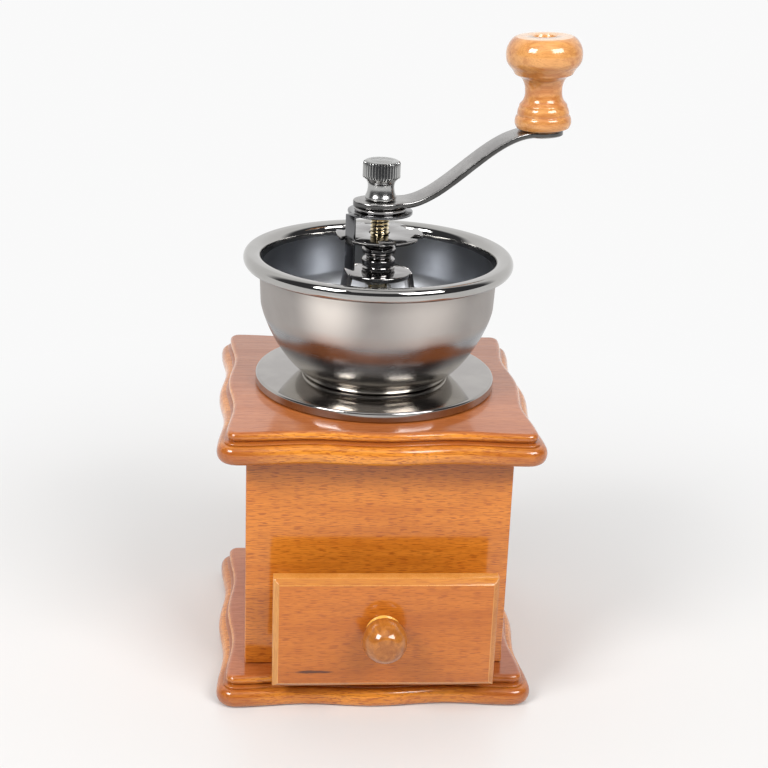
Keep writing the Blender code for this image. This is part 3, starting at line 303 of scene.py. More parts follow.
def mark_zones(piece: Piece, points: Sequence[Point]) -> None:
    """Number the stretches of a turned piece's profile on its vertices, as the attribute zone.

    Args:
        piece: The turned piece.
        points: The profile, each point as (radius, height, zone).
    """
    tree = KDTree(len(points))
    for number, (radius, height, _) in enumerate(points):
        tree.insert((radius, height, 0), number)
    tree.balance()
    values = piece.data.attributes.new("zone", "FLOAT", "POINT").data
    for vertex, value in zip(piece.data.vertices, values):
        nearest = tree.find((math.hypot(vertex.co.x, vertex.co.y), vertex.co.z, 0))[1]
        value.value = points[nearest][2]


def arc(centre: Point, radii: Point, start_deg: float, end_deg: float, steps: int) -> list[Point]:
    """Points along an elliptical arc.

    Args:
        centre: The ellipse's centre.
        radii: Its two half axes.
        start_deg: The first point's angle.
        end_deg: The last point's angle.
        steps: How many steps the arc takes.

    Returns:
        The points, from first to last.
    """
    points = []
    for step in range(steps + 1):
        angle = math.radians(start_deg + (end_deg - start_deg) * step / steps)
        across, up = radii[0] * math.cos(angle), radii[1] * math.sin(angle)
        points.append((centre[0] + across, centre[1] + up))
    return points


def flowing(points: Sequence[Point], steps: int) -> list[Point]:
    """A smooth line through points.

    Args:
        points: The points that the line passes through.
        steps: Steps between one point and the next.

    Returns:
        The line's points.
    """
    ends = [points[0], *points, points[-1]]
    line = []
    for before, start, end, after in zip(ends, ends[1:], ends[2:], ends[3:]):
        for step in range(steps):
            t = step / steps
            line.append(tuple(
                b + 0.5 * t * (c - a + t * (2 * a - 5 * b + 4 * c - d + t * (3 * (b - c) + d - a)))
                for a, b, c, d in zip(before, start, end, after)
            ))
    return [*line, points[-1]]


def wear(
    piece: Piece, body: str, finish: bpy.types.Material, node: str, smooth_deg: float = SMOOTH_DEG
) -> None:
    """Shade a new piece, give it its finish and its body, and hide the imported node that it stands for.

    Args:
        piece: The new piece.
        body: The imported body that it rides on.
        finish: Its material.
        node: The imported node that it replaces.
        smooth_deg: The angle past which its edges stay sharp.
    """
    smooth(piece, smooth_deg)
    piece.data.materials.clear()
    piece.data.materials.append(finish)
    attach(piece, body)
    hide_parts(node)
    log.info("%s: %d faces, rides on %s", piece.name, len(piece.data.polygons), body)


def repaint(piece: Piece, finish: bpy.types.Material, chosen: Callable[[Face], bool]) -> None:
    """Give some faces of a piece a finish of their own.

    Args:
        piece: The piece.
        finish: The material of those faces.
        chosen: Whether a face is one of them.
    """
    piece.data.materials.append(finish)
    for face in piece.data.polygons:
        if chosen(face):
            face.material_index = len(piece.data.materials) - 1


def dress(node: str, finish: bpy.types.Material) -> None:
    """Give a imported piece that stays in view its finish.

    Args:
        node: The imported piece.
        finish: Its material.
    """
    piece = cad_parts[node]
    if not piece.material_slots:
        piece.data.materials.append(finish)
    for place in piece.material_slots:
        place.link = "OBJECT"
        place.material = finish
    log.info("%s keeps its packed shape", node)


# Finishes


class Grain(Enum):
    """The way the wood's grain runs, as the turn that lays it along X."""

    ALONG_X = (0.0, 0.0, 0.0)
    ALONG_Y = (0.0, 0.0, -math.pi / 2)
    ALONG_Z = (0.0, math.pi / 2, 0.0)


class Lay(Enum):
    """How the marks in a metal's surface lie."""

    TURNED = "rings about the shaft"
    CAST = "no direction"


@dataclass(frozen=True)
class Pattern:
    """A noise: its scale each way, its detail, its distortion, and the heights between which it shows."""

    scale: Point
    detail: float = 2.0
    distortion: float = 0.0
    low: float = 0.3
    high: float = 0.7


BANDS = Pattern((7, 60, 60), 3, 0.6, 0.34, 0.66)
LINES = Pattern((22, 620, 620), 3, 0.3, 0.35, 0.65)
SWIRLS = Pattern((16, 300, 300), 2, 1.2, 0.38, 0.64)
FLECKS = Pattern((210, 3000, 3000), 1, 0, 0.53, 0.62)
PORES = Pattern((160, 5200, 5200), 1, 0, 0.60, 0.70)
RIPPLE = Pattern((60, 90, 90), 1)
STREAK_EDGE = Pattern((160, 900, 1400), 3)
STAIN_EDGE = Pattern((45, 45, 400), 3)
CLOUDS = Pattern((70, 70, 70), 4, 0.4)
GRIT = Pattern((1500, 1500, 1500), 3, 0, 0.56, 0.68)


class Wiring:
    """Adds and joins the nodes of one node tree."""

    def __init__(self, tree: bpy.types.NodeTree) -> None:
        """Keep the tree that the nodes go into."""
        self.tree = tree

    def feed(self, socket: Socket, value: object) -> None:
        """Give an input a value, or wire it to an output.

        Args:
            socket: The input.
            value: The value, or the output.
        """
        if isinstance(value, Socket):
            self.tree.links.new(value, socket)
        else:
            socket.default_value = value

    def add(self, kind: str, inputs: dict[str | int, object], **settings: object) -> bpy.types.Node:
        """Add a node.

        Args:
            kind: The node's type, without its ShaderNode prefix.
            inputs: Values or sockets for its inputs.
            settings: Its own settings.

        Returns:
            The node.
        """
        made = self.tree.nodes.new("ShaderNode" + kind)
        for name, value in settings.items():
            setattr(made, name, value)
        for name, value in inputs.items():
            self.feed(made.inputs[name], value)
        return made

    def place(self, turn_by: Point = (0, 0, 0), shift: Point = (0, 0, 0)) -> Socket:
        """The piece's own coordinates, turned and then shifted."""
        source = self.add("TexCoord", {}).outputs["Object"]
        return self.add("Mapping", {"Vector": source, "Rotation": turn_by, "Location": shift}).outputs[0]

    def noise(self, vector: Socket, pattern: Pattern) -> Socket:
        """Lay a pattern of noise on coordinates.

        Args:
            vector: The coordinates.
            pattern: The noise.

        Returns:
            Its height, from 0 to 1.
        """
        at = self.add("VectorMath", {0: vector, 1: pattern.scale}, operation="MULTIPLY").outputs[0]
        inputs = {"Vector": at, "Scale": 1.0, "Detail": pattern.detail, "Distortion": pattern.distortion}
        return self.add("TexNoise", inputs).outputs["Fac"]

    def parts(self, vector: Socket) -> Sequence[Socket]:
        """The three parts of a vector."""
        return self.add("SeparateXYZ", {0: vector}).outputs

    def length(self, vector: Socket) -> Socket:
        """How long a vector is."""
        return self.add("VectorMath", {0: vector}, operation="LENGTH").outputs["Value"]

    def off_axis(self, vector: Socket) -> Socket:
        """How far a point is from the world's Z."""
        across, back, _ = self.parts(vector)
        return self.length(self.add("CombineXYZ", {0: across, 1: back}).outputs[0])

    def reach(self, vector: Socket, middle: Point, half: Point) -> Socket:
        """How far a point is from a middle, in half sizes that differ from way to way."""
        away = self.add("VectorMath", {0: vector, 1: middle}, operation="SUBTRACT").outputs[0]
        return self.length(self.add("VectorMath", {0: away, 1: half}, operation="DIVIDE").outputs[0])

    def ramp(self, value: Socket, low: float, high: float, start: float = 0.0, end: float = 1.0) -> Socket:
        """Map a value from one range to another, smoothly and held at both ends.

        Args:
            value: The value.
            low: Where its range starts.
            high: Where it ends.
            start: What its start becomes.
            end: What its end becomes.

        Returns:
            The mapped value.
        """
        inputs = {"Value": value, "From Min": low, "From Max": high, "To Min": start, "To Max": end}
        return self.add("MapRange", inputs, interpolation_type="SMOOTHSTEP").outputs[0]

    def shown(self, noise: Socket, pattern: Pattern, start: float = 0.0, end: float = 1.0) -> Socket:
        """A pattern's noise, which goes from start to end between the heights where it shows."""
        return self.ramp(noise, pattern.low, pattern.high, start, end)

    def laid(self, vector: Socket, pattern: Pattern, start: float = 0.0, end: float = 1.0) -> Socket:
        """A pattern on coordinates, which goes from start to end between the heights where it shows."""
        return self.shown(self.noise(vector, pattern), pattern, start, end)

    def maths(self, operation: str, first: object, second: object = 0.0) -> Socket:
        """The result of one sum."""
        return self.add("Math", {0: first, 1: second}, operation=operation).outputs[0]

    def between(self, share: Socket, first: Socket, second: Socket) -> Socket:
        """A blend of two values."""
        step = self.maths("SUBTRACT", second, first)
        return self.maths("ADD", first, self.maths("MULTIPLY", step, share))

    def mix(self, share: Socket, first: object, second: object) -> Socket:
        """Blend two colours.

        Args:
            share: How much of the second one shows.
            first: A colour or a socket.
            second: A colour or a socket.

        Returns:
            The blend.
        """
        made = self.add("Mix", {0: share}, data_type="RGBA")
        for number, value in ((6, first), (7, second)):
            self.feed(made.inputs[number], value if isinstance(value, Socket) else (*value, 1.0))
        return made.outputs[2]

    def bump(self, height: Socket, depth: float, strength: float) -> Socket:
        """A bump of a depth in metres."""
        return self.add("Bump", {"Height": height, "Distance": depth, "Strength": strength}).outputs[0]


class Painter(Wiring):
    """Wires the nodes of one material round its Principled shader."""

    def __init__(self, name: str) -> None:
        """Start a material.

        Args:
            name: The material's name.
        """
        self.material = bpy.data.materials.new(name)
        self.material.use_nodes = True
        super().__init__(self.material.node_tree)
        self.shader = self.tree.nodes["Principled BSDF"]

    def set(self, **values: object) -> bpy.types.Material:
        """Set or wire the shader's inputs.

        Args:
            values: A value or a socket for each input, with _ for a space in its name.

        Returns:
            The material.
        """
        for name, value in values.items():
            self.feed(self.shader.inputs[name.replace("_", " ")], value)
        return self.material


@dataclass(frozen=True)
class Wood:
    """Varnished or bare beech, with short dark flecks, fine pores, streaks and slow bands of tone.

    A moulded board is lighter on its edge than on its top, as painted light and shade: its top has the
    colours shaded_top_light and shaded_top_deep.
    """

    light: Point = (0.70, 0.232, 0.024)
    deep: Point = (0.54, 0.156, 0.012)
    fleck: Point = (0.33, 0.075, 0.008)
    stain_and_shade: Point = (0.28, 0.062, 0.014)
    gloss: float = 1.0
    gloss_roughness: float = 0.12
    roughness: float = 0.42
    fleck_amount: float = 0.78
    figure: float = 0.0
    shaded_top_light: Point = (0.50, 0.155, 0.040)
    shaded_top_deep: Point = (0.40, 0.108, 0.024)
    flat_fade: Point = (-0.0008, -0.0001)
    band_share: float = 0.62
    pore_amount: float = 0.30
    roughness_spread: Point = (-0.05, 0.06)
    streak_colour: Point = (0.055, 0.016, 0.008)
    streak_rag: float = 0.35
    streak_fade: Point = (0.45, 1.0)
    coat_ior: float = 1.6
    coat_depth: float = 0.00006
    grain_depth: float = 0.00003
    corner_stain: Point = (0.062, 0.092)
    stain_rag: float = 0.006
    groove_stain_and_shade: Point = (0.0002, 0.0013)

    def material(
        self, name: str, grain: Grain, shift: Point = (0, 0, 0),
        streak: tuple[Point, Point] | None = None, edge: tuple[float, float] | None = None,
    ) -> bpy.types.Material:
        """Make the finish for one board or turning.

        Args:
            name: The material's name.
            grain: The way its grain runs.
            shift: Where in the log it was cut, so that no two boards look the same.
            streak: Centre and half sizes of a short dark streak, if the board has one.
            edge: Heights of the groove and of the flat top of a moulded board.

        Returns:
            The material.
        """
        paint = Painter(name)
        at, own = paint.place(grain.value, shift), paint.place()
        lines, tone = paint.noise(at, LINES), paint.laid(at, BANDS, 0, self.band_share)
        tone = paint.maths("ADD", tone, paint.shown(lines, LINES, 0, 1 - self.band_share))
        shaded_top_colour = paint.mix(tone, self.shaded_top_light, self.shaded_top_deep)
        if self.figure:
            tone = paint.maths("ADD", tone, paint.laid(at, SWIRLS, -self.figure, self.figure))
        colour = paint.mix(tone, self.light, self.deep)
        if edge:
            groove, top = edge
            flat = paint.ramp(paint.parts(own)[2], *(top + fade for fade in self.flat_fade))
            # Darker towards the corners from staining, and darkest in the groove from staining and painted
            # shade.
            colour = paint.mix(self.stain_and_groove_shade(paint, own, groove), colour, self.stain_and_shade)
            # Painted light and shade: the flat top takes darker, duller colours than the moulded edge of the
            # same board.
            colour = paint.mix(flat, colour, shaded_top_colour)
        flecks = paint.laid(at, FLECKS, 0, self.fleck_amount)
        colour = paint.mix(flecks, colour, self.fleck)
        colour = paint.mix(paint.laid(at, PORES, 0, self.pore_amount), colour, self.fleck)
        if streak:
            ragged = paint.laid(own, STREAK_EDGE, -self.streak_rag, self.streak_rag)
            reach = paint.maths("ADD", paint.reach(own, *streak), ragged)
            colour = paint.mix(paint.ramp(reach, *self.streak_fade, 0.88, 0), colour, self.streak_colour)
        relief = paint.maths("ADD", flecks, paint.maths("MULTIPLY", lines, 0.6))
        glossy, dull = (self.roughness + change for change in self.roughness_spread)
        return paint.set(
            Base_Color=colour, Roughness=paint.ramp(tone, 0, 1, glossy, dull),
            Normal=paint.bump(relief, self.grain_depth, 0.5), Coat_Weight=self.gloss,
            Coat_Normal=paint.bump(paint.noise(at, RIPPLE), self.coat_depth, 0.5),
            Coat_Roughness=self.gloss_roughness, Coat_IOR=self.coat_ior,
            Specular_IOR_Level=0.5 - 0.4 * self.gloss,
        )

    def stain_and_groove_shade(self, paint: Painter, own: Socket, groove: float) -> Socket:
        """Find where a moulded edge is darker: towards the corners from staining, and most in the groove from
        staining and painted shade.

        Args:
            paint: The material's painter.
            own: The piece's coordinates.
            groove: The groove's height.

        Returns:
            How dark it is, from 0 to 1.
        """
        ragged = paint.laid(own, STAIN_EDGE, -self.stain_rag, self.stain_rag)
        reach = paint.maths("ADD", paint.off_axis(own), ragged)
        corner = paint.ramp(reach, *self.corner_stain, 0, 0.7)
        off = paint.maths("ABSOLUTE", paint.maths("SUBTRACT", paint.parts(own)[2], groove))
        return paint.maths("MAXIMUM", corner, paint.ramp(off, *self.groove_stain_and_shade, 0.75, 0))


@dataclass(frozen=True)
class Metal:
    """Plated or bare metal with faint marks and a little cloudiness.

    Its painted highlights are soft brighter patches standing for glancing lamplight, each a middle, half
    sizes and a strength.
    """

    colour: Point = (0.37, 0.36, 0.355)
    cloud: Point = (0.31, 0.30, 0.295)
    roughness: float = 0.08
    cloudiness: float = 0.02
    marks: float = 0.000001
    mark_pitch: float = 0.0004
    lay: Lay = Lay.TURNED
    speckle: float = 0.0
    painted_highlights: Sequence[tuple[Point, Point, float]] = ()
    highlight_colour: Point = (0.92, 0.86, 0.80)
    highlight_fade: Point = (0.1, 1.0)
    grit_shade: float = 0.45

    def surface(self, paint: Painter) -> tuple[Socket, Socket, Socket]:
        """Wire the metal's colour, roughness and normal.

        Args:
            paint: The material's painter.

        Returns:
            The three sockets.
        """
        at = paint.place()
        clouds, pitch = paint.noise(at, CLOUDS), (1 / self.mark_pitch,) * 3
        if self.lay is Lay.TURNED:
            along = paint.maths("ADD", paint.off_axis(at), paint.parts(at)[2])
            rings = paint.add("CombineXYZ", {0: along}).outputs[0]
            pattern = Pattern(pitch, 2)
            marks = paint.noise(rings, pattern)
        else:
            pattern = Pattern(pitch, 3)
            marks = paint.noise(at, pattern)
        colour = paint.mix(paint.shown(clouds, CLOUDS), self.colour, self.cloud)
        if self.speckle:
            grit = tuple(self.grit_shade * part for part in self.colour)
            colour = paint.mix(paint.laid(at, GRIT, 0, self.speckle), colour, grit)
        # Painted highlights: brighter patches laid on the colour, standing for lamplight glancing off the
        # metal.
        for middle, half, strength in self.painted_highlights:
            highlight_patch = paint.ramp(paint.reach(at, middle, half), *self.highlight_fade, strength, 0)
            colour = paint.mix(highlight_patch, colour, self.highlight_colour)
        slow, fine = self.cloudiness, self.cloudiness / 2
        worn = paint.shown(clouds, CLOUDS, -slow, slow)
        worn = paint.maths("ADD", worn, paint.shown(marks, pattern, -fine, fine))
        return colour, paint.maths("ADD", worn, self.roughness), paint.bump(marks, self.marks, 0.6)

    def material(self, name: str) -> bpy.types.Material:
        """Make the finish.

        Args:
            name: The material's name.

        Returns:
            The material.
        """
        paint = Painter(name)
        colour, roughness, normal = self.surface(paint)
        return paint.set(Base_Color=colour, Metallic=1.0, Roughness=roughness, Normal=normal)


def zoned(name: str, finishes: Sequence[Metal]) -> bpy.types.Material:
    """A metal that passes from one finish to the next where the attribute zone goes up by one.

    Args:
        name: The material's name.
        finishes: The finishes, in the order of their zones.

    Returns:
        The material.
    """
    paint = Painter(name)
    zone = paint.add("Attribute", {}, attribute_name="zone").outputs["Fac"]
    colour, roughness, normal = finishes[0].surface(paint)
    for number, finish in enumerate(finishes[1:]):
        share = paint.ramp(zone, number, number + 1)
        next_colour, next_roughness, _ = finish.surface(paint)
        colour = paint.mix(share, colour, next_colour)
        roughness = paint.between(share, roughness, next_roughness)
    return paint.set(Base_Color=colour, Metallic=1.0, Roughness=roughness, Normal=normal)


VARNISHED = Wood()
DRAWER_WOOD = Wood(light=(0.57, 0.168, 0.016), deep=(0.45, 0.117, 0.008))
# Paler, yellower wood for the drawer front's edges: painted highlight.
ARRIS_HIGHLIGHT_WOOD = Wood(light=(0.61, 0.22, 0.022), deep=(0.46, 0.148, 0.012), fleck_amount=0.4)
# Paler wood for the drawer front's chamfer, left arris and top edge: painted highlight and painted light from
# above, with a little wear.
WORN_AND_LIT_WOOD = Wood(light=(0.71, 0.33, 0.080), deep=(0.58, 0.235, 0.040), fleck_amount=0.3)
MOULDED = Wood(light=(0.79, 0.295, 0.032), deep=(0.61, 0.190, 0.016), figure=0.35)
HANDLE_WOOD = Wood(
    light=(0.74, 0.355, 0.112), deep=(0.51, 0.185, 0.046), fleck=(0.38, 0.12, 0.022),
    fleck_amount=0.3, figure=0.25,
)
PULL_WOOD = Wood(
    light=(0.52, 0.185, 0.028), deep=(0.30, 0.088, 0.011), fleck=(0.22, 0.060, 0.010),
    fleck_amount=0.3, figure=0.2,
)
# Pale, creamy wood for the drawer knob's rim: painted highlight.
PULL_RIM_HIGHLIGHT_WOOD = Wood(light=(0.88, 0.47, 0.090), deep=(0.78, 0.37, 0.060), fleck_amount=0.1)
# Pale wood for the crank knob's top ring: painted highlight, the lamps' glare.
HANDLE_TOP_GLARE_WOOD = Wood(light=(0.88, 0.62, 0.42), deep=(0.76, 0.48, 0.28), fleck_amount=0.2)
BARE_WOOD = Wood(
    light=(0.70, 0.45, 0.22), deep=(0.58, 0.34, 0.15), fleck=(0.36, 0.19, 0.08),
    gloss=0.0, roughness=0.62,
)
POLISHED = Metal()
LIP_STEEL = Metal(colour=(0.46, 0.45, 0.435), cloud=(0.43, 0.42, 0.405), roughness=0.05, cloudiness=0.01)
SATIN = Metal(cloudiness=0.012)
# Painted highlight: the bowl's lowest band takes a lighter, creamier steel, standing for reflected lamplight.
SATIN_FOOT_HIGHLIGHT = replace(SATIN, colour=(0.60, 0.575, 0.53), cloud=(0.55, 0.53, 0.49), roughness=0.17)
# Painted shade: the band above the foot and the underside of the lip's roll take a darker, cooler steel.
SATIN_KNEE_SHADE = replace(SATIN, colour=(0.31, 0.31, 0.315), cloud=(0.235, 0.24, 0.25), roughness=0.26)
# The belly carries two painted highlights, brighter patches standing for lamplight reflected onto it.
SATIN_BELLY = replace(
    SATIN, colour=(0.42, 0.39, 0.37), cloud=(0.39, 0.36, 0.34), roughness=0.50,
    painted_highlights=(((-0.0220, -0.0432, 0.1660), (0.018, 0.018, 0.024), 1.0),
            ((0.0166, -0.0456, 0.1660), (0.022, 0.022, 0.024), 0.5)),
)
SATIN_INSIDE = replace(SATIN, colour=(0.37, 0.38, 0.40), cloud=(0.34, 0.35, 0.37), roughness=0.30)
DISC_STEEL = Metal(colour=(0.44, 0.42, 0.40), cloud=(0.39, 0.37, 0.355), roughness=0.09)
CLIP_STEEL = Metal(colour=(0.21, 0.21, 0.215), cloud=(0.16, 0.16, 0.165), roughness=0.10)
ARM_STEEL = Metal(
    colour=(0.45, 0.44, 0.43), cloud=(0.33, 0.32, 0.315), roughness=0.27, lay=Lay.CAST,
    speckle=0.6, marks=0.00002, mark_pitch=0.0006,
)
# A darker copy of the arm's steel for its sides: painted shade.
ARM_SHADED_EDGE = replace(
    ARM_STEEL, colour=(0.14, 0.138, 0.135), cloud=(0.09, 0.088, 0.085), roughness=0.22, speckle=0.5,
)
NUT_STEEL = Metal(colour=(0.48, 0.48, 0.47), cloud=(0.41, 0.41, 0.40), roughness=0.22, marks=0.00003)
# Darker steel for the bottoms of the knurls: painted shade in the grooves.
KNURL_SHADE_STEEL = Metal(colour=(0.27, 0.273, 0.28), cloud=(0.21, 0.212, 0.217), roughness=0.35)
ZINC = Metal(
    colour=(0.62, 0.62, 0.60), cloud=(0.52, 0.52, 0.50), roughness=0.28, cloudiness=0.04, lay=Lay.CAST,
)
IRON = replace(
    ZINC, colour=(0.13, 0.13, 0.135), cloud=(0.09, 0.09, 0.095), roughness=0.46,
    speckle=0.5, marks=0.00005, mark_pitch=0.0009,
)
BRASS = Metal(colour=(0.78, 0.68, 0.47), cloud=(0.66, 0.55, 0.36), roughness=0.14, cloudiness=0.04)


# The grinder's sub-assemblies


@dataclass
class Case:
    """The two moulded boards and the four walls between them."""

    side: float = 0.130
    thickness: float = 0.0125
    corner: float = 0.008
    scallop: float = 0.0022
    bead_height: float = 0.0074
    bead_depth: float = 0.0024
    upper_inset: float = 0.0039
    ridge: float = 0.00045
    groove: float = 0.0012
    groove_low: float = 0.0011
    groove_high: float = 0.0013
    top_edge: float = 0.0019
    top_foot: float = 0.107
    ring_hole: float = 0.0173
    ease: float = 0.0006
    side_steps: int = 44
    corner_steps: int = 8

    def outline(self, inset: float, height: float) -> list[Point]:
        """Draw a board's scalloped outline.

        Args:
            inset: How far it is drawn in.
            height: The height that it lies at.

        Returns:
            Its points.
        """
        half = self.side / 2
        run = half - self.corner
        points = []
        for quarter in range(4):
            turn_by = Matrix.Rotation(quarter * math.pi / 2, 3, "Z")
            line = []
            for step in range(self.side_steps + 1):
                along = run * (2 * step / self.side_steps - 1)
                wave = self.scallop * (1 - math.cos(2 * math.pi * along / run)) / 2
                line.append((half - inset - wave, along))
            line += arc((run, run), (self.corner - inset,) * 2, 0, 90, self.corner_steps)[1:-1]
            points += [tuple(turn_by @ Vector((*point, height))) for point in line]
        return points

    def moulding(self) -> list[Point]:
        """Draw the boards' edge: a bead, a thin ridge in the groove over it, and an upper bead.

        Returns:
            Points of (inset, height), from the underside up.
        """
        half = self.bead_height / 2
        profile = [(self.bead_depth + 0.0006, 0.0)]
        for degrees in range(-84, 91, 12):
            angle = math.radians(degrees)
            profile.append((self.bead_depth * (1 - math.cos(angle)), half * (1 + math.sin(angle))))
        root, ridge_in = self.upper_inset + self.groove, self.bead_depth + 2.2 * self.ridge
        ridge_up, middle = self.bead_height + 1.1 * self.ridge, self.thickness - self.top_edge
        profile.append((ridge_in, self.bead_height + 0.00005))
        for degrees in range(-75, 76, 30):
            angle = math.radians(degrees)
            profile.append((ridge_in - self.ridge * math.cos(angle), ridge_up + self.ridge * math.sin(angle)))
        profile += [(root, self.bead_height + self.groove_low), (root, self.bead_height + self.groove_high)]
        for degrees in range(-55, 91, 12):
            angle = math.radians(degrees)
            inset = self.upper_inset + self.top_edge * (1 - math.cos(angle))
            profile.append((inset, middle + self.top_edge * math.sin(angle)))
        profile.append((self.upper_inset + self.top_edge, self.thickness))
        return profile

    def board(self, name: str, foot: float) -> Piece:
        """A moulded board with its underside at a height."""
        return lofted(name, [self.outline(inset, foot + height) for inset, height in self.moulding()])

    def board_finish(self, name: str, foot: float, shift: Point) -> bpy.types.Material:
        """Make the finish of a moulded board.

        Args:
            name: The material's name.
            foot: The height of the board's underside.
            shift: Where in the log it was cut.

        Returns:
            The material.
        """
        edge = (foot + self.bead_height + self.groove_low, foot + self.thickness)
        return MOULDED.material(name, Grain.ALONG_X, shift, edge=edge)

    def build(self) -> None:
        """Model the case and dress it."""
        base = self.board("moulded_base", 0)
        wear(base, "frame", self.board_finish("base_wood", 0, (0, 0, 0)), "base_board")
        top = self.board("moulded_top", self.top_foot)
        drill(top, self.ring_hole, self.top_foot - PAST, self.top_foot + self.thickness + PAST)
        finish = self.board_finish("top_wood", self.top_foot, (0.31, 0.17, 0.05))
        wear(top, "frame", finish, "top_board")
        walls = (
            ("front_panel", "front_wall", Grain.ALONG_X, (0.13, 0.41, 0.23)),
            ("back_panel", "back_wall", Grain.ALONG_X, (0.57, 0.11, 0.37)),
            ("left_panel", "left_wall", Grain.ALONG_Y, (0.71, 0.29, 0.19)),
            ("right_panel", "right_wall", Grain.ALONG_Y, (0.83, 0.47, 0.61)),
        )
        for node, name, grain, shift in walls:
            piece = copied(node, name)
            soften(piece, self.ease)
            wear(piece, "frame", VARNISHED.material(name + "_wood", grain, shift), node)
        for number in range(1, 5):
            dress(f"base_screw_{number}", ZINC.material(f"base_screw_{number}_zinc"))


@dataclass
class Drawer:
    """The drawer, its ball knob and the knob's screw."""

    knob_foot: Point = (0.0016, -0.0713, 0.03935)
    ball_radius: float = 0.0090
    ball_middle: float = 0.0082
    foot_radius: float = 0.0072
    rim: float = 0.0010
    groove_radius: float = 0.0060
    flat_deg: float = 34
    cap: Sequence[Point] = ((0.8, 0.00018), (0.5, 0.00025), (0, 0.00028))
    rim_paint: float = 1.3
    ease: float = 0.0004
    ease_deg: float = 20
    edge_facing: float = 0.75
    face_facing: float = 0.98
    arris_facing: float = 0.5
    streak_middle: Point = (-0.0265, -0.0710, 0.0207)
    streak_half: Point = (0.0100, 0.0030, 0.0008)

    def knob(self) -> Piece:
        """Turn the ball knob, which points forwards.

        Returns:
            The knob.
        """
        start = math.degrees(math.asin(self.groove_radius / self.ball_radius)) - 90
        half = self.rim / 2
        flat = self.foot_radius - half
        profile = [(0, 0), (flat, 0), *arc((flat, half), (half, half), -80, 90, 8)]
        profile += [(self.groove_radius + 0.0004, self.rim + 0.0002), (self.groove_radius, self.rim + 0.0006)]
        ball = arc((0, self.ball_middle), (self.ball_radius,) * 2, start, 90 - self.flat_deg, 26)
        brow, height = ball[-1]
        profile += ball[1:] + [(brow * share, height + up) for share, up in self.cap]
        place = Matrix.Translation(self.knob_foot) @ Matrix.Rotation(math.pi / 2, 4, "X")
        return turned("drawer_ball_knob", profile, ROUND_STEPS, place=place)

    def worn(self, face: Face) -> bool:
        """Tell the faces of the front that take the paler wood, its chamfer, its left arris and its top edge,
        from the others.

        Args:
            face: The face.

        Returns:
            Whether it takes the paler wood: painted highlight and painted light from above, with a little
                wear.
        """
        across, ahead, up = face.normal
        chamfer = self.edge_facing < abs(ahead) < self.face_facing
        left_arris = across < -self.arris_facing and ahead < -self.arris_facing
        return chamfer or left_arris or up > self.edge_facing

    def build(self) -> None:
        """Model the drawer and dress it."""
        front, cut_at = copied("drawer_front", "drawer_face"), (0.43, 0.59, 0.11)
        soften(front, self.ease, angle_deg=self.ease_deg)
        streak = (self.streak_middle, self.streak_half)
        finish = DRAWER_WOOD.material("drawer_face_wood", Grain.ALONG_X, cut_at, streak)
        wear(front, "drawer", finish, "drawer_front")
        # The front's side, top and bottom faces take a paler, yellower wood: painted highlight on its edges.
        finish = ARRIS_HIGHLIGHT_WOOD.material("drawer_arris_highlight_wood", Grain.ALONG_X, cut_at)
        repaint(front, finish, lambda face: abs(face.normal.y) <= self.edge_facing)
        # The chamfer, the left arris and the top edge take a paler wood still: painted highlight and painted
        # light from above, with a little wear.
        finish = WORN_AND_LIT_WOOD.material("drawer_worn_and_lit_wood", Grain.ALONG_Z, (0.2, 0.1, 0.4))
        repaint(front, finish, self.worn)
        knob = self.knob()
        finish = PULL_WOOD.material("drawer_knob_wood", Grain.ALONG_Y)
        wear(knob, "drawer", finish, "drawer_knob")
        # The knob's rim takes a pale, creamy wood: painted highlight where lamplight catches it.
        finish = PULL_RIM_HIGHLIGHT_WOOD.material("drawer_knob_rim_highlight_wood", Grain.ALONG_Y)
        rim_front = self.knob_foot[1] - self.rim_paint * self.rim
        repaint(knob, finish, lambda face: face.center.y > rim_front)
        boards = (
            ("drawer_side_left", Grain.ALONG_Y), ("drawer_side_right", Grain.ALONG_Y),
            ("drawer_back", Grain.ALONG_X), ("drawer_bottom", Grain.ALONG_X),
        )
        for number, (node, grain) in enumerate(boards):
            piece = copied(node, node + "_board")
            soften(piece, self.ease)
            finish = BARE_WOOD.material(node + "_wood", grain, (0.23 * number, 0.1, 0.3))
            wear(piece, "drawer", finish, node)
        dress("drawer_knob_screw", ZINC.material("drawer_knob_screw_zinc"))


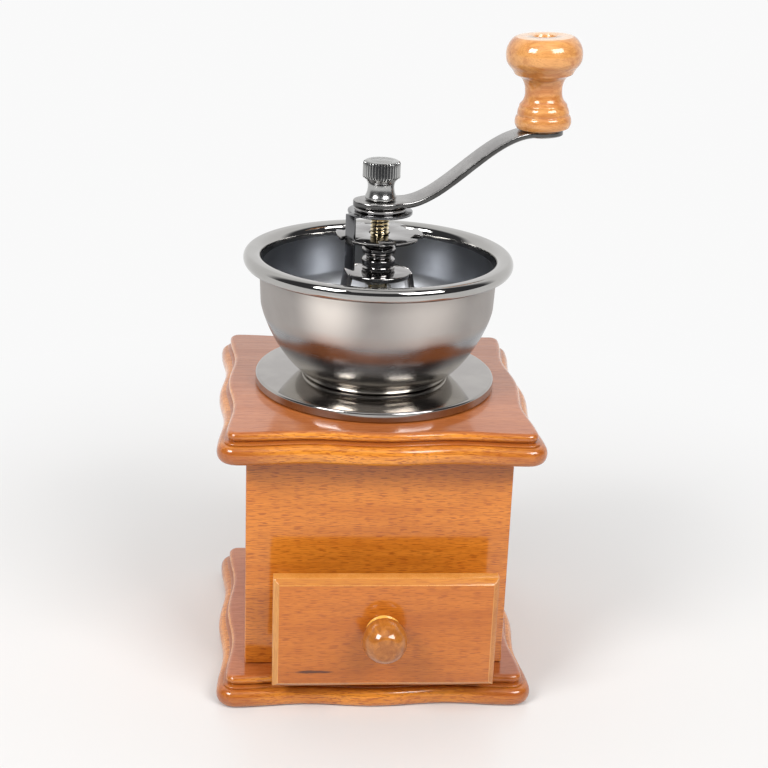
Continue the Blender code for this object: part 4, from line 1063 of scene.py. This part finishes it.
@dataclass
class Hopper:
    """The thick disc and the spun bowl with its rolled lip."""

    hole: float = 0.0173
    disc_radius: float = 0.050
    disc_low: float = 0.1198
    disc_high: float = 0.1240
    disc_edge: float = 0.0010
    foot: float = 0.1243
    wall: float = 0.0012
    foot_radius: float = 0.0305
    knee: float = 0.1260
    belly_radius: float = 0.0482
    belly: float = 0.1548
    fullness: float = 1.37
    neck_radius: float = 0.0488
    lip_middle: Point = (0.0523, 0.1736)
    lip_radii: Point = (0.0032, 0.0022)
    roll: Point = (0.0022, 0.0028)
    curve_steps: int = 30
    knee_reach: Point = (0.1335, 0.1400)
    belly_reach: Point = (0.1475, 0.1515)
    shaded_under_lip: float = 0.0018
    ease: float = 0.0004
    throat: Sequence[Point] = (
        (0.0034, 0.0021), (0.0020, 0.0017), (0.0010, 0.0009), (0.0004, -0.0004), (0.0001, -0.0020),
    )

    def side(self, radius_foot: float, radius_belly: float, low: float) -> list[Point]:
        """Draw the bowl's side, from its foot to its belly, as a superellipse.

        Args:
            radius_foot: The foot's radius.
            radius_belly: The belly's radius.
            low: The foot's height.

        Returns:
            Points of (radius, height).
        """
        points = []
        for step in range(self.curve_steps + 1):
            angle = step / self.curve_steps * math.pi / 2
            across = math.sin(angle) ** (2 / self.fullness)
            up = 1 - math.cos(angle) ** (2 / self.fullness)
            radius = radius_foot + (radius_belly - radius_foot) * across
            points.append((radius, low + (self.belly - low) * up))
        return points

    def bowl(self) -> Piece:
        """Turn the bowl as one closed sheet, and number its zones from the foot up and round to the inside.

        Returns:
            The bowl.
        """
        wall, neck, ease = self.wall, self.neck_radius, self.ease
        lip_r, lip_z = self.lip_middle
        neck_top = lip_z - 2 * self.lip_radii[1]
        outside = [(self.hole, self.foot), (self.foot_radius - ease, self.foot)]
        outside += [(self.foot_radius, self.foot + ease)]
        outside += self.side(self.foot_radius, self.belly_radius, self.knee)
        outside += [(neck - 0.0002, neck_top - 0.006), (neck, neck_top - 0.0006)]
        outside += [(neck + 0.0001, neck_top + 0.0008), (neck + 0.0006, neck_top + 0.0014)]
        roll_r, roll_z = lip_r + self.lip_radii[0] - self.roll[0], lip_z + self.lip_radii[1] - self.roll[1]
        lip, inner = arc((roll_r, roll_z), self.roll, -150, 88, 36), neck - wall
        throat = [(inner + wide, lip_z + up) for wide, up in self.throat]
        lip += flowing([(roll_r - 0.0006, lip_z + 0.00222), *throat], 6)
        inside = [(inner, lip_z - 0.0032), (inner - 0.0001, neck_top - 0.005)]
        inside += reversed(self.side(self.foot_radius - wall, self.belly_radius - wall, self.knee + wall))
        inside += [(self.foot_radius - wall - 0.0008, self.foot + wall), (self.hole, self.foot + wall)]
        bowl = turned("spun_bowl", [*outside, *lip, *inside], FINE_STEPS, closed=True)
        zones = []
        for radius, up in outside:
            reaches = (self.knee_reach, self.belly_reach)
            zone = sum(min(max((up - low) / (high - low), 0), 1) for low, high in reaches)
            zones.append((radius, up, zone))
        # The underside of the lip's roll takes the knee's darker steel: painted shade under the roll.
        zones += [(radius, up, 3 if up > roll_z - self.shaded_under_lip else 1) for radius, up in lip]
        mark_zones(bowl, zones + [(*point, 4) for point in inside])
        return bowl

    def disc(self) -> Piece:
        """Turn the thick disc under the bowl.

        Returns:
            The disc.
        """
        edge, ease = self.disc_edge, self.ease
        loop = [(self.hole, self.disc_low), (self.disc_radius - ease, self.disc_low)]
        loop += [(self.disc_radius, self.disc_low + ease)]
        loop += arc((self.disc_radius - edge, self.disc_high - edge), (edge, edge), 0, 90, 6)
        loop += [(self.hole, self.disc_high)]
        return turned("hopper_disc", loop, FINE_STEPS, closed=True)

    def build(self) -> None:
        """Model the hopper and dress it."""
        wear(self.disc(), "frame", DISC_STEEL.material("disc_steel"), "flange_plate")
        # The bowl's outer zones carry painted light: a lighter foot, a darker knee band and painted
        # highlights on the belly.
        finish = zoned("bowl_steel", (SATIN_FOOT_HIGHLIGHT, SATIN_KNEE_SHADE, SATIN_BELLY, LIP_STEEL, SATIN_INSIDE))
        wear(self.bowl(), "frame", finish, "hopper_bowl", CURVED_DEG)


@dataclass
class Mill:
    """The burrs, the bridge over them, the shaft and what is threaded on it."""

    bridge_ease: float = 0.0004
    sheet_ease: float = 0.0002
    spigot_foot: float = 0.166
    spigot_radius: float = 0.0056
    bushing_foot: float = 0.1683
    bushing_top: float = 0.1735
    bushing_radius: float = 0.0068
    bore: float = 0.0043
    shaft_foot: float = 0.0911
    shaft_radius: float = 0.0040
    shaft_ease: float = 0.0006
    journal_radius: float = 0.0030
    shoulder: float = 0.0976
    shaft_top: float = 0.2091
    thread_low: float = 0.1745
    thread_pitch: float = 0.0015
    thread_depth: float = 0.00065
    wheel_foot: float = 0.1738
    wheel_plate: float = 0.1825
    wheel_thickness: float = 0.0016
    wheel_radius: float = 0.0178
    notches: int = 6
    notch_width: float = 0.0066
    notch_depth: float = 0.0036
    clip_turn_deg: float = 217
    spacer_foot: float = 0.1938
    spacer_radius: float = 0.0108
    spacer_thickness: float = 0.0013
    spacer_ease: float = 0.0003
    spring_low: float = 0.1239
    spring_high: float = 0.1657
    spring_radius: float = 0.0052
    spring_wire: float = 0.0005
    spring_curls: int = 11
    grind_lift: float = 0.0012

    def bridge(self) -> None:
        """The bridge and the bushing on it."""
        bridge = copied("bridge", "mill_bridge")
        soften(bridge, self.bridge_ease, angle_deg=40)
        wear(bridge, "frame", POLISHED.material("bridge_steel"), "bridge")
        low, high = self.bushing_foot, self.bushing_top
        radius, spigot = self.bushing_radius, self.spigot_radius
        middle = low + (high - low) * 0.4
        loop = [(self.bore, self.spigot_foot), (spigot, self.spigot_foot), (spigot, low)]
        loop += [(radius - 0.0003, low), (radius, low + 0.0003)]
        for dip, up in ((0, -0.0006), (0.0004, -0.0003), (0.0005, 0), (0.0004, 0.0003), (0, 0.0006)):
            loop.append((radius - dip, middle + up))
        loop += arc((radius - 0.0007, high - 0.0007), (0.0007, 0.0007), 0, 90, 4)
        loop += [(self.bore, high)]
        bushing = turned("shaft_bushing", loop, ROUND_STEPS, closed=True)
        wear(bushing, "frame", POLISHED.material("bushing_steel"), "bridge_bushing")

    def wheel(self) -> None:
        """The notched adjusting wheel on its turned hub."""
        foot, plate, top = self.wheel_foot, self.wheel_plate, self.wheel_plate + self.wheel_thickness
        loop = [(self.bore, foot), (0.0052, foot), (0.0052, foot + 0.0012)]
        loop += arc((0.0050, foot + 0.00325), (0.0020, 0.00205), -75, 75, 14)
        loop += flowing([(0.0049, foot + 0.0053), (0.0048, foot + 0.0068), (0.0052, plate - 0.0004)], 4)
        loop += [(0.0056, plate), (self.wheel_radius, plate), (self.wheel_radius, top), (self.bore, top)]
        wheel = turned("notched_wheel", loop, ROUND_STEPS, closed=True)
        floor, half = self.wheel_radius - self.notch_depth, self.notch_width / 2
        for number in range(self.notches):
            low, high = (floor, -half, plate - PAST / 2), (self.wheel_radius + PAST, half, top + PAST / 2)
            notch = block("notch", low, high)
            turn(notch, 360 * number / self.notches)
            cut(wheel, notch)
        turn(wheel, self.clip_turn_deg)
        soften(wheel, self.sheet_ease, 2, 40)
        wear(wheel, "adjuster", POLISHED.material("wheel_steel"), "adjusting_wheel")

    def clip(self) -> None:
        """The lock clip and the spacer above it."""
        clip = copied("lock_clip", "wheel_clip")
        soften(clip, self.sheet_ease, 2, 40)
        wear(clip, "spindle", CLIP_STEEL.material("clip_steel"), "lock_clip")
        low, high = self.spacer_foot, self.spacer_foot + self.spacer_thickness
        loop = [(self.bore, low), (self.spacer_radius, low), (self.spacer_radius, high), (self.bore, high)]
        spacer = turned("arm_spacer", loop, ROUND_STEPS, closed=True)
        soften(spacer, self.spacer_ease)
        wear(spacer, "spindle", POLISHED.material("spacer_steel"), "spacer_washer")

    def shaft(self) -> None:
        """The shaft, with a cut thread where the wheel runs and where the thumb nut holds."""
        journal, radius, foot, top = self.journal_radius, self.shaft_radius, self.shaft_foot, self.shaft_top
        low, end = self.thread_low, self.shaft_ease
        profile = [(0, foot), (journal - end, foot), (journal, foot + end)]
        profile += [(journal, self.shoulder), (radius, self.shoulder), (radius, low)]
        levels = int((top - low) / self.thread_pitch * 10)
        profile += [(radius, low + (top - low) * level / levels) for level in range(1, levels)]
        profile += [(radius - end, top), (0, top)]
        shaft = turned("threaded_shaft", profile, SMALL_STEPS)

        def thread(point: Vector) -> Vector:
            """Sink a point into the thread's groove.

            Args:
                point: The point.

            Returns:
                Where it goes.
            """
            reach = math.hypot(point.x, point.y)
            if point.z < low + 1e-5 or point.z > top - 1e-5 or reach < radius - 1e-4:
                return point
            turns = math.atan2(point.y, point.x) / (2 * math.pi)
            phase = (point.z / self.thread_pitch - turns) % 1
            share = (reach - self.thread_depth * (1 - abs(2 * phase - 1)) ** 0.8) / reach
            return Vector((point.x * share, point.y * share, point.z))

        reshape(shaft, thread)
        wear(shaft, "spindle", BRASS.material("shaft_brass"), "main_shaft", 60)

    def spring(self) -> None:
        """The coil spring that presses the cone down. It keeps one length; the real one gives way as the
        grind is set finer.
        """
        wire = self.spring_wire
        pitch = (self.spring_high - self.spring_low - 4 * wire) / self.spring_curls
        start = self.spring_low + 2 * wire
        points = [(x, 0.0, z) for x, z in arc((self.spring_radius, start), (wire, wire), 0, 330, 11)]
        coil = start_outline("coil_spring", points, False)
        bpy.ops.object.mode_set(mode="OBJECT")
        apply(coil, "SCREW", screw_offset=pitch, iterations=self.spring_curls, steps=32, axis="Z")
        pick(coil)
        bpy.ops.object.mode_set(mode="EDIT")
        bpy.ops.mesh.select_all(action="SELECT")
        bpy.ops.mesh.fill_holes(sides=0)
        close_up()
        wear(coil, "frame", ZINC.material("spring_zinc"), "shaft_spring", CURVED_DEG)
        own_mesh(coil)

    def build(self) -> None:
        """Model the mill and dress it."""
        self.bridge()
        self.wheel()
        self.clip()
        self.shaft()
        self.spring()
        dress("outer_burr", IRON.material("ring_burr_iron"))
        dress("inner_burr", IRON.material("cone_burr_iron"))
        for node in ("burr_nut", "spring_washer", "lower_strap"):
            dress(node, ZINC.material(node + "_zinc"))
        for number in (1, 2):
            for node in (f"strap_screw_{number}", f"bolt_washer_{number}", f"bolt_nut_{number}"):
                dress(node, ZINC.material(node + "_zinc"))
            dress(f"bridge_bolt_{number}", POLISHED.material(f"bridge_bolt_{number}_steel"))


@dataclass
class Crank:
    """The bent arm, the turned knob on its pin, and the thumb nut that clamps the arm."""

    arm_foot: float = 0.1954
    length: float = 0.0677
    rise: float = 0.0280
    thickness: float = 0.0024
    half_width: float = 0.0063
    eye_reach: float = 0.0113
    eye_half: float = 0.0092
    pad: float = 0.0084
    edge: float = 0.0007
    edge_tilt: float = 0.45
    bend_start: float = 0.0089
    bend_to_pad: float = 0.0058
    turn_deg: float = 10
    lean_deg: float = 2.8
    blend_length: float = 0.013
    blend_deg: float = 50
    bore: float = 0.0043
    pin_bore: float = 0.0028
    pin_radius: float = 0.0025
    rivet_radius: float = 0.0040
    gap: float = 0.0003
    knob_radius: float = 0.01555
    knob_height: float = 0.0376
    top_ring: float = 0.0003
    recess_radius: float = 0.0048
    recess_depth: float = 0.0040
    recess_ease: float = 0.0005
    nut_foot: float = 0.1981
    nut_radius: float = 0.0076
    nut_height: float = 0.0159
    nut_bore_top: float = 0.2094
    head_low: float = 0.575
    head_high: float = 0.93
    dish_depth: float = 0.00012
    knurls: int = 36
    knurl_depth: float = 0.0010
    knob_shares: Sequence[Point] = (
        (0.615, 0.0), (0.690, 0.012), (0.721, 0.033), (0.741, 0.055), (0.746, 0.080), (0.738, 0.110),
        (0.716, 0.136), (0.692, 0.148), (0.684, 0.156), (0.685, 0.172), (0.676, 0.196), (0.660, 0.220),
        (0.640, 0.238), (0.632, 0.250), (0.624, 0.266), (0.585, 0.285), (0.543, 0.306), (0.518, 0.327),
        (0.500, 0.350), (0.488, 0.385), (0.488, 0.412), (0.490, 0.446), (0.500, 0.470), (0.517, 0.494),
        (0.538, 0.516), (0.566, 0.538), (0.608, 0.559), (0.678, 0.578), (0.742, 0.590), (0.768, 0.599),
        (0.781, 0.609), (0.793, 0.619), (0.820, 0.637), (0.854, 0.657), (0.897, 0.677), (0.936, 0.697),
        (0.982, 0.736), (1.0, 0.79), (0.996, 0.835), (0.975, 0.876), (0.93, 0.918), (0.862, 0.957),
        (0.80, 0.980), (0.72, 0.995), (0.58, 1.0),
    )
    nut_shares: Sequence[Point] = (
        (0.77, 0.0), (0.82, 0.010), (0.842, 0.035), (0.842, 0.070), (0.815, 0.105), (0.775, 0.150),
        (0.735, 0.220), (0.712, 0.300), (0.715, 0.370), (0.745, 0.440), (0.82, 0.500), (0.93, 0.550),
    )

    def path(self, along: float) -> tuple[float, float]:
        """Follow the arm's underside.

        Args:
            along: The distance from the shaft.

        Returns:
            Its height above the eye and its slope there.
        """
        start, end = self.bend_start, self.length - self.bend_to_pad
        lean = math.tan(math.radians(self.lean_deg))
        rise = self.rise - lean * (self.length - end)
        if along <= start:
            return 0.0, 0.0
        if along >= end:
            return rise + lean * (along - end), lean
        run = end - start
        share = (along - start) / run
        height = rise * share**2 * (3 - 2 * share) + lean * run * share**2 * (share - 1)
        return height, rise / run * 6 * share * (1 - share) + lean * share * (3 * share - 2)

    def stations(self) -> list[Point]:
        """Measure the arm from its eye's far edge to its pad's.

        Returns:
            Points of (distance from the shaft, half width).
        """
        blend, opening = math.radians(self.blend_deg), math.asin(self.half_width / self.pad)
        places = []
        for step in range(16):
            angle = math.pi - (step + 0.5) / 15.5 * (math.pi - blend)
            places.append((self.eye_reach * math.cos(angle), self.eye_half * math.sin(angle)))
        start, wide = places[-1]
        end = self.length - self.pad * math.cos(opening)
        for step in range(1, 49):
            along = start + (end - start) * step / 48
            share = min(1.0, (along - start) / self.blend_length)
            places.append((along, wide + (self.half_width - wide) * share**2 * (3 - 2 * share)))
        for step in range(1, 13):
            angle = math.pi - opening - step / 12.5 * (math.pi - opening)
            places.append((self.length + self.pad * math.cos(angle), self.pad * math.sin(angle)))
        return places

    def section(self, half: float) -> list[Point]:
        """Draw the arm's cross-section with its rounded edges.

        Args:
            half: Its half width.

        Returns:
            Points of (across, up).
        """
        edge = min(self.edge, half * 0.45)
        top, points = self.thickness - edge, []
        corners = ((half - edge, edge), (half - edge, top), (edge - half, top), (edge - half, edge))
        for corner, start in zip(corners, range(-90, 181, 90)):
            points += arc(corner, (edge, edge), start, start + 90, 4)
        return points

    def knob_place(self) -> Matrix:
        """Find the frame of the knob's pin.

        Returns:
            The frame, on the arm's underside.
        """
        angle = math.radians(self.turn_deg)
        foot = (self.length * math.cos(angle), self.length * math.sin(angle), self.arm_foot + self.rise)
        return Matrix.Translation(foot) @ Euler((0, math.radians(-self.lean_deg), angle)).to_matrix().to_4x4()

    def arm(self) -> None:
        """The arm, forged flat, bent up to its pad and drilled."""
        rings = []
        for along, half in self.stations():
            height, slope = self.path(along)
            normal = Vector((-slope, 0, 1)).normalized()
            origin = Vector((along, 0, self.arm_foot + height))
            section = self.section(half)
            rings.append([tuple(origin + Vector((0, across, 0)) + normal * up) for across, up in section])
        arm = lofted("forged_arm", rings)
        turn(arm, self.turn_deg)
        drill(arm, self.bore, self.arm_foot - PAST, self.arm_foot + self.thickness + PAST)
        drill(arm, self.pin_bore, -PAST, self.thickness + PAST, self.knob_place())
        wear(arm, "spindle", ARM_STEEL.material("arm_steel"), "crank_arm", 40)
        # The arm's side faces take the darker copy of its steel: painted shade along its edges.
        shaded_edge_finish = ARM_SHADED_EDGE.material("arm_shaded_edge_steel")
        repaint(arm, shaded_edge_finish, lambda face: abs(face.normal.z) < self.edge_tilt)

    def knob(self) -> None:
        """The turned wooden knob, with the pin's head in its recess."""
        foot, place = self.thickness + self.gap, self.knob_place()
        top, recess = foot + self.knob_height, foot + self.knob_height - self.recess_depth
        shares, wide, ease = self.knob_shares, self.recess_radius, self.recess_ease
        side = flowing([(self.knob_radius * out, foot + self.knob_height * up) for out, up in shares], 4)
        loop = [(self.pin_bore, foot + 0.001), (0.0063, foot + 0.001), (0.0063, foot), *side]
        loop += [(wide + ease, top), (wide, top - ease), (wide, recess), (self.pin_bore, recess)]
        knob = turned("turned_knob", loop, ROUND_STEPS, closed=True, place=place)
        finish = HANDLE_WOOD.material("crank_knob_wood", Grain.ALONG_X, (0.2, 0.3, 0.1))
        wear(knob, "knob", finish, "crank_knob", CURVED_DEG)
        # The ring round the knob's top takes a pale wood: painted highlight, the lamps' glare on its top.
        finish, upright = HANDLE_TOP_GLARE_WOOD.material("crank_knob_top_glare_wood", Grain.ALONG_X), place.inverted()
        repaint(knob, finish, lambda face: (upright @ face.center).z > top - self.top_ring)
        head, shank, cap = recess + self.gap, self.pin_radius, self.rivet_radius
        profile = [(0, -0.0013), (0.0022, -0.0013), (0.0031, -0.0010), (0.0036, -0.0003), (shank, -0.0003)]
        profile += [(shank, head), (cap, head), (cap, head + 0.0010)]
        profile += [*arc((cap - 0.0010, head + 0.0010), (0.0010, 0.0008), 15, 90, 4), (0, head + 0.0018)]
        pin = turned("knob_rivet", profile, SMALL_STEPS, place=place)
        wear(pin, "spindle", ZINC.material("rivet_zinc"), "knob_pin")

    def thumb_nut(self) -> None:
        """The knurled thumb nut."""
        foot, radius, height = self.nut_foot, self.nut_radius, self.nut_height
        low, high, top = foot + self.head_low * height, foot + self.head_high * height, foot + height
        dish = top - self.dish_depth
        profile = [(0, self.nut_bore_top), (self.bore, self.nut_bore_top), (self.bore, foot)]
        profile += flowing([(radius * wide, foot + height * up) for wide, up in self.nut_shares], 3)[:-1]
        profile += [(radius * 0.95, low - 0.0002), (radius, low)]
        profile += [(radius, low + (high - low) * share / 4) for share in range(1, 5)]
        crown = [(0.97, high + 0.0005), (0.90, top - 0.0002), (0.84, top)]
        crown += [(0.62, top), (0.60, dish), (0.57, dish)]
        profile += [(radius * wide, up) for wide, up in crown]
        profile += [(radius * 0.55, top), (0, top)]
        nut = turned("knurled_nut", profile, 8 * self.knurls)

        def knurl(point: Vector) -> Vector:
            """Sink a point into the knurling round the nut's head.

            Args:
                point: The point.

            Returns:
                Where it goes.
            """
            reach = math.hypot(point.x, point.y)
            if point.z < low - 0.0001 or reach < 0.93 * radius:
                return point
            angle = math.atan2(point.y, point.x)
            dip = abs(math.cos(self.knurls * angle / 2)) ** 1.5 * self.knurl_depth
            share = (reach - dip) / reach
            return Vector((point.x * share, point.y * share, point.z))

        reshape(nut, knurl)
        knurled = [(reach, up) for reach, up in profile if low - 0.0001 < up < top - 0.0003]
        # The bottoms of the knurls take the darker steel: painted shade in the grooves.
        shaded_grooves = [(reach - self.knurl_depth, up, 1) for reach, up in knurled]
        mark_zones(nut, [(*point, 0) for point in profile] + shaded_grooves)
        finish = zoned("nut_steel", (NUT_STEEL, KNURL_SHADE_STEEL))
        wear(nut, "thumb_nut", finish, "thumb_nut", CURVED_DEG)

    def build(self) -> None:
        """Model the crank and dress it."""
        self.arm()
        self.knob()
        self.thumb_nut()
        dress("knob_washer", ZINC.material("knob_washer_zinc"))


@dataclass(frozen=True)
class Softbox:
    """A soft light: its place round and above the grinder, its size and its power in watts."""

    name: str
    across_deg: float
    up_deg: float
    size: Point
    power: float


@dataclass
class Studio:
    """The pale floor, the soft light and the camera."""

    camera_at: Point = (-0.0527, -0.6450, 0.3542)
    yaw_deg: float = -5.05
    pitch_deg: float = 20.04
    roll_deg: float = -2.23
    lens: float = 76.36
    sensor: float = 36.0
    floor_half: float = 12.0
    floor_drop: float = 0.0002
    floor_colour: Point = (0.715, 0.703, 0.690)
    backdrop: Point = (0.95, 0.95, 0.95)
    room: Point = (0.06, 0.06, 0.064)
    backdrop_reach: Point = (0.05, 0.40)
    floor_fade: Point = (0.02, 0.42)
    softbox_distance: float = 2.2
    softbox_aim: float = 0.12
    softboxes: Sequence[Softbox] = (
        Softbox("left_softbox", -50, 38, (0.8, 0.8), 36),
        Softbox("right_softbox", 38, 38, (1.2, 0.8), 36),
        Softbox("top_softbox", -3, 62, (1.6, 1.6), 6),
    )

    def camera(self) -> None:
        """The camera, where the photograph was taken from."""
        yaw, pitch, roll = (math.radians(angle) for angle in (self.yaw_deg, self.pitch_deg, self.roll_deg))
        ahead = Vector((-math.sin(yaw) * math.cos(pitch), math.cos(yaw) * math.cos(pitch), -math.sin(pitch)))
        level = Vector((math.cos(yaw), math.sin(yaw), 0))
        down = ahead.cross(level)
        right = math.cos(roll) * level + math.sin(roll) * down
        below = -math.sin(roll) * level + math.cos(roll) * down
        place = Matrix((right, -below, -ahead)).transposed().to_4x4()
        place.translation = Vector(self.camera_at)
        data = bpy.data.cameras.new("portrait")
        data.lens, data.sensor_width = self.lens, self.sensor
        camera = bpy.data.objects.new("portrait", data)
        bpy.context.scene.collection.objects.link(camera)
        camera.matrix_world = place
        bpy.context.scene.camera = camera

    def floor(self) -> None:
        """A pale floor that keeps the shadow and fades into the backdrop away from the grinder."""
        deselect_all()
        bpy.ops.mesh.primitive_plane_add(size=2 * self.floor_half, location=(0, 0, 0))
        floor = bpy.context.object
        floor.name = "floor"
        reshape(floor, lambda point: Vector((point.x, point.y, -self.floor_drop)))
        paint = Painter("floor_paint")
        far = paint.ramp(paint.length(paint.place()), *self.floor_fade)
        seen = paint.add("LightPath", {})
        direct = paint.maths("MAXIMUM", seen.outputs["Is Camera Ray"], seen.outputs["Is Glossy Ray"])
        direct = paint.maths("MAXIMUM", direct, seen.outputs["Is Transmission Ray"])
        share = paint.maths("MULTIPLY", far, direct)
        glow = paint.add("Emission", {"Color": (*self.backdrop, 1), "Strength": 1.0})
        both = paint.add("MixShader", {0: share, 1: paint.shader.outputs[0], 2: glow.outputs[0]})
        paint.feed(paint.tree.nodes["Material Output"].inputs["Surface"], both.outputs[0])
        paint.set(Base_Color=(*self.floor_colour, 1), Roughness=0.28, Specular_IOR_Level=0.5)
        floor.data.materials.append(paint.material)

    def softbox(self, box: Softbox) -> None:
        """Hang a soft light that faces the grinder.

        Args:
            box: The light.
        """
        across, up = math.radians(box.across_deg), math.radians(box.up_deg)
        middle = Vector((0, 0, self.softbox_aim))
        away = Vector((math.sin(across) * math.cos(up), -math.cos(across) * math.cos(up), math.sin(up)))
        data = bpy.data.lights.new(box.name, "AREA")
        data.shape, data.energy = "RECTANGLE", box.power
        data.size, data.size_y = box.size
        light = bpy.data.objects.new(box.name, data)
        bpy.context.scene.collection.objects.link(light)
        light.location = middle + away * self.softbox_distance
        light.rotation_euler = (-away).to_track_quat("-Z", "Y").to_euler()

    def world(self) -> None:
        """A room that is bright behind the grinder and dim in front. The camera sees an even backdrop."""
        world = bpy.data.worlds.new("studio")
        world.use_nodes = True
        bpy.context.scene.world = world
        wiring, nodes = Wiring(world.node_tree), world.node_tree.nodes
        wiring.feed(nodes["Background"].inputs["Color"], (*self.backdrop, 1))
        way = wiring.parts(wiring.add("TexCoord", {}).outputs["Generated"])
        behind = wiring.ramp(way[1], *self.backdrop_reach)
        lit = wiring.add("Background", {"Color": wiring.mix(behind, self.room, self.backdrop)})
        seen = wiring.add("LightPath", {}).outputs["Is Camera Ray"]
        both = wiring.add("MixShader", {0: seen, 1: lit.outputs[0], 2: nodes["Background"].outputs[0]})
        wiring.feed(nodes["World Output"].inputs["Surface"], both.outputs[0])

    def build(self) -> None:
        """Set up the floor, the lights, the room and the camera."""
        self.floor()
        for box in self.softboxes:
            self.softbox(box)
        self.world()
        self.camera()
        bpy.context.scene.view_settings.view_transform = "Standard"
        log.info("studio is set")


def main() -> None:
    """Build each sub-assembly and then the studio."""
    logging.basicConfig(level=logging.INFO, format="%(name)s: %(message)s")
    for assembly in (Case(), Drawer(), Hopper(), Mill(), Crank(), Studio()):
        assembly.build()
    deselect_all()
    bpy.context.view_layer.update()


if __name__ == "__main__":
    main()
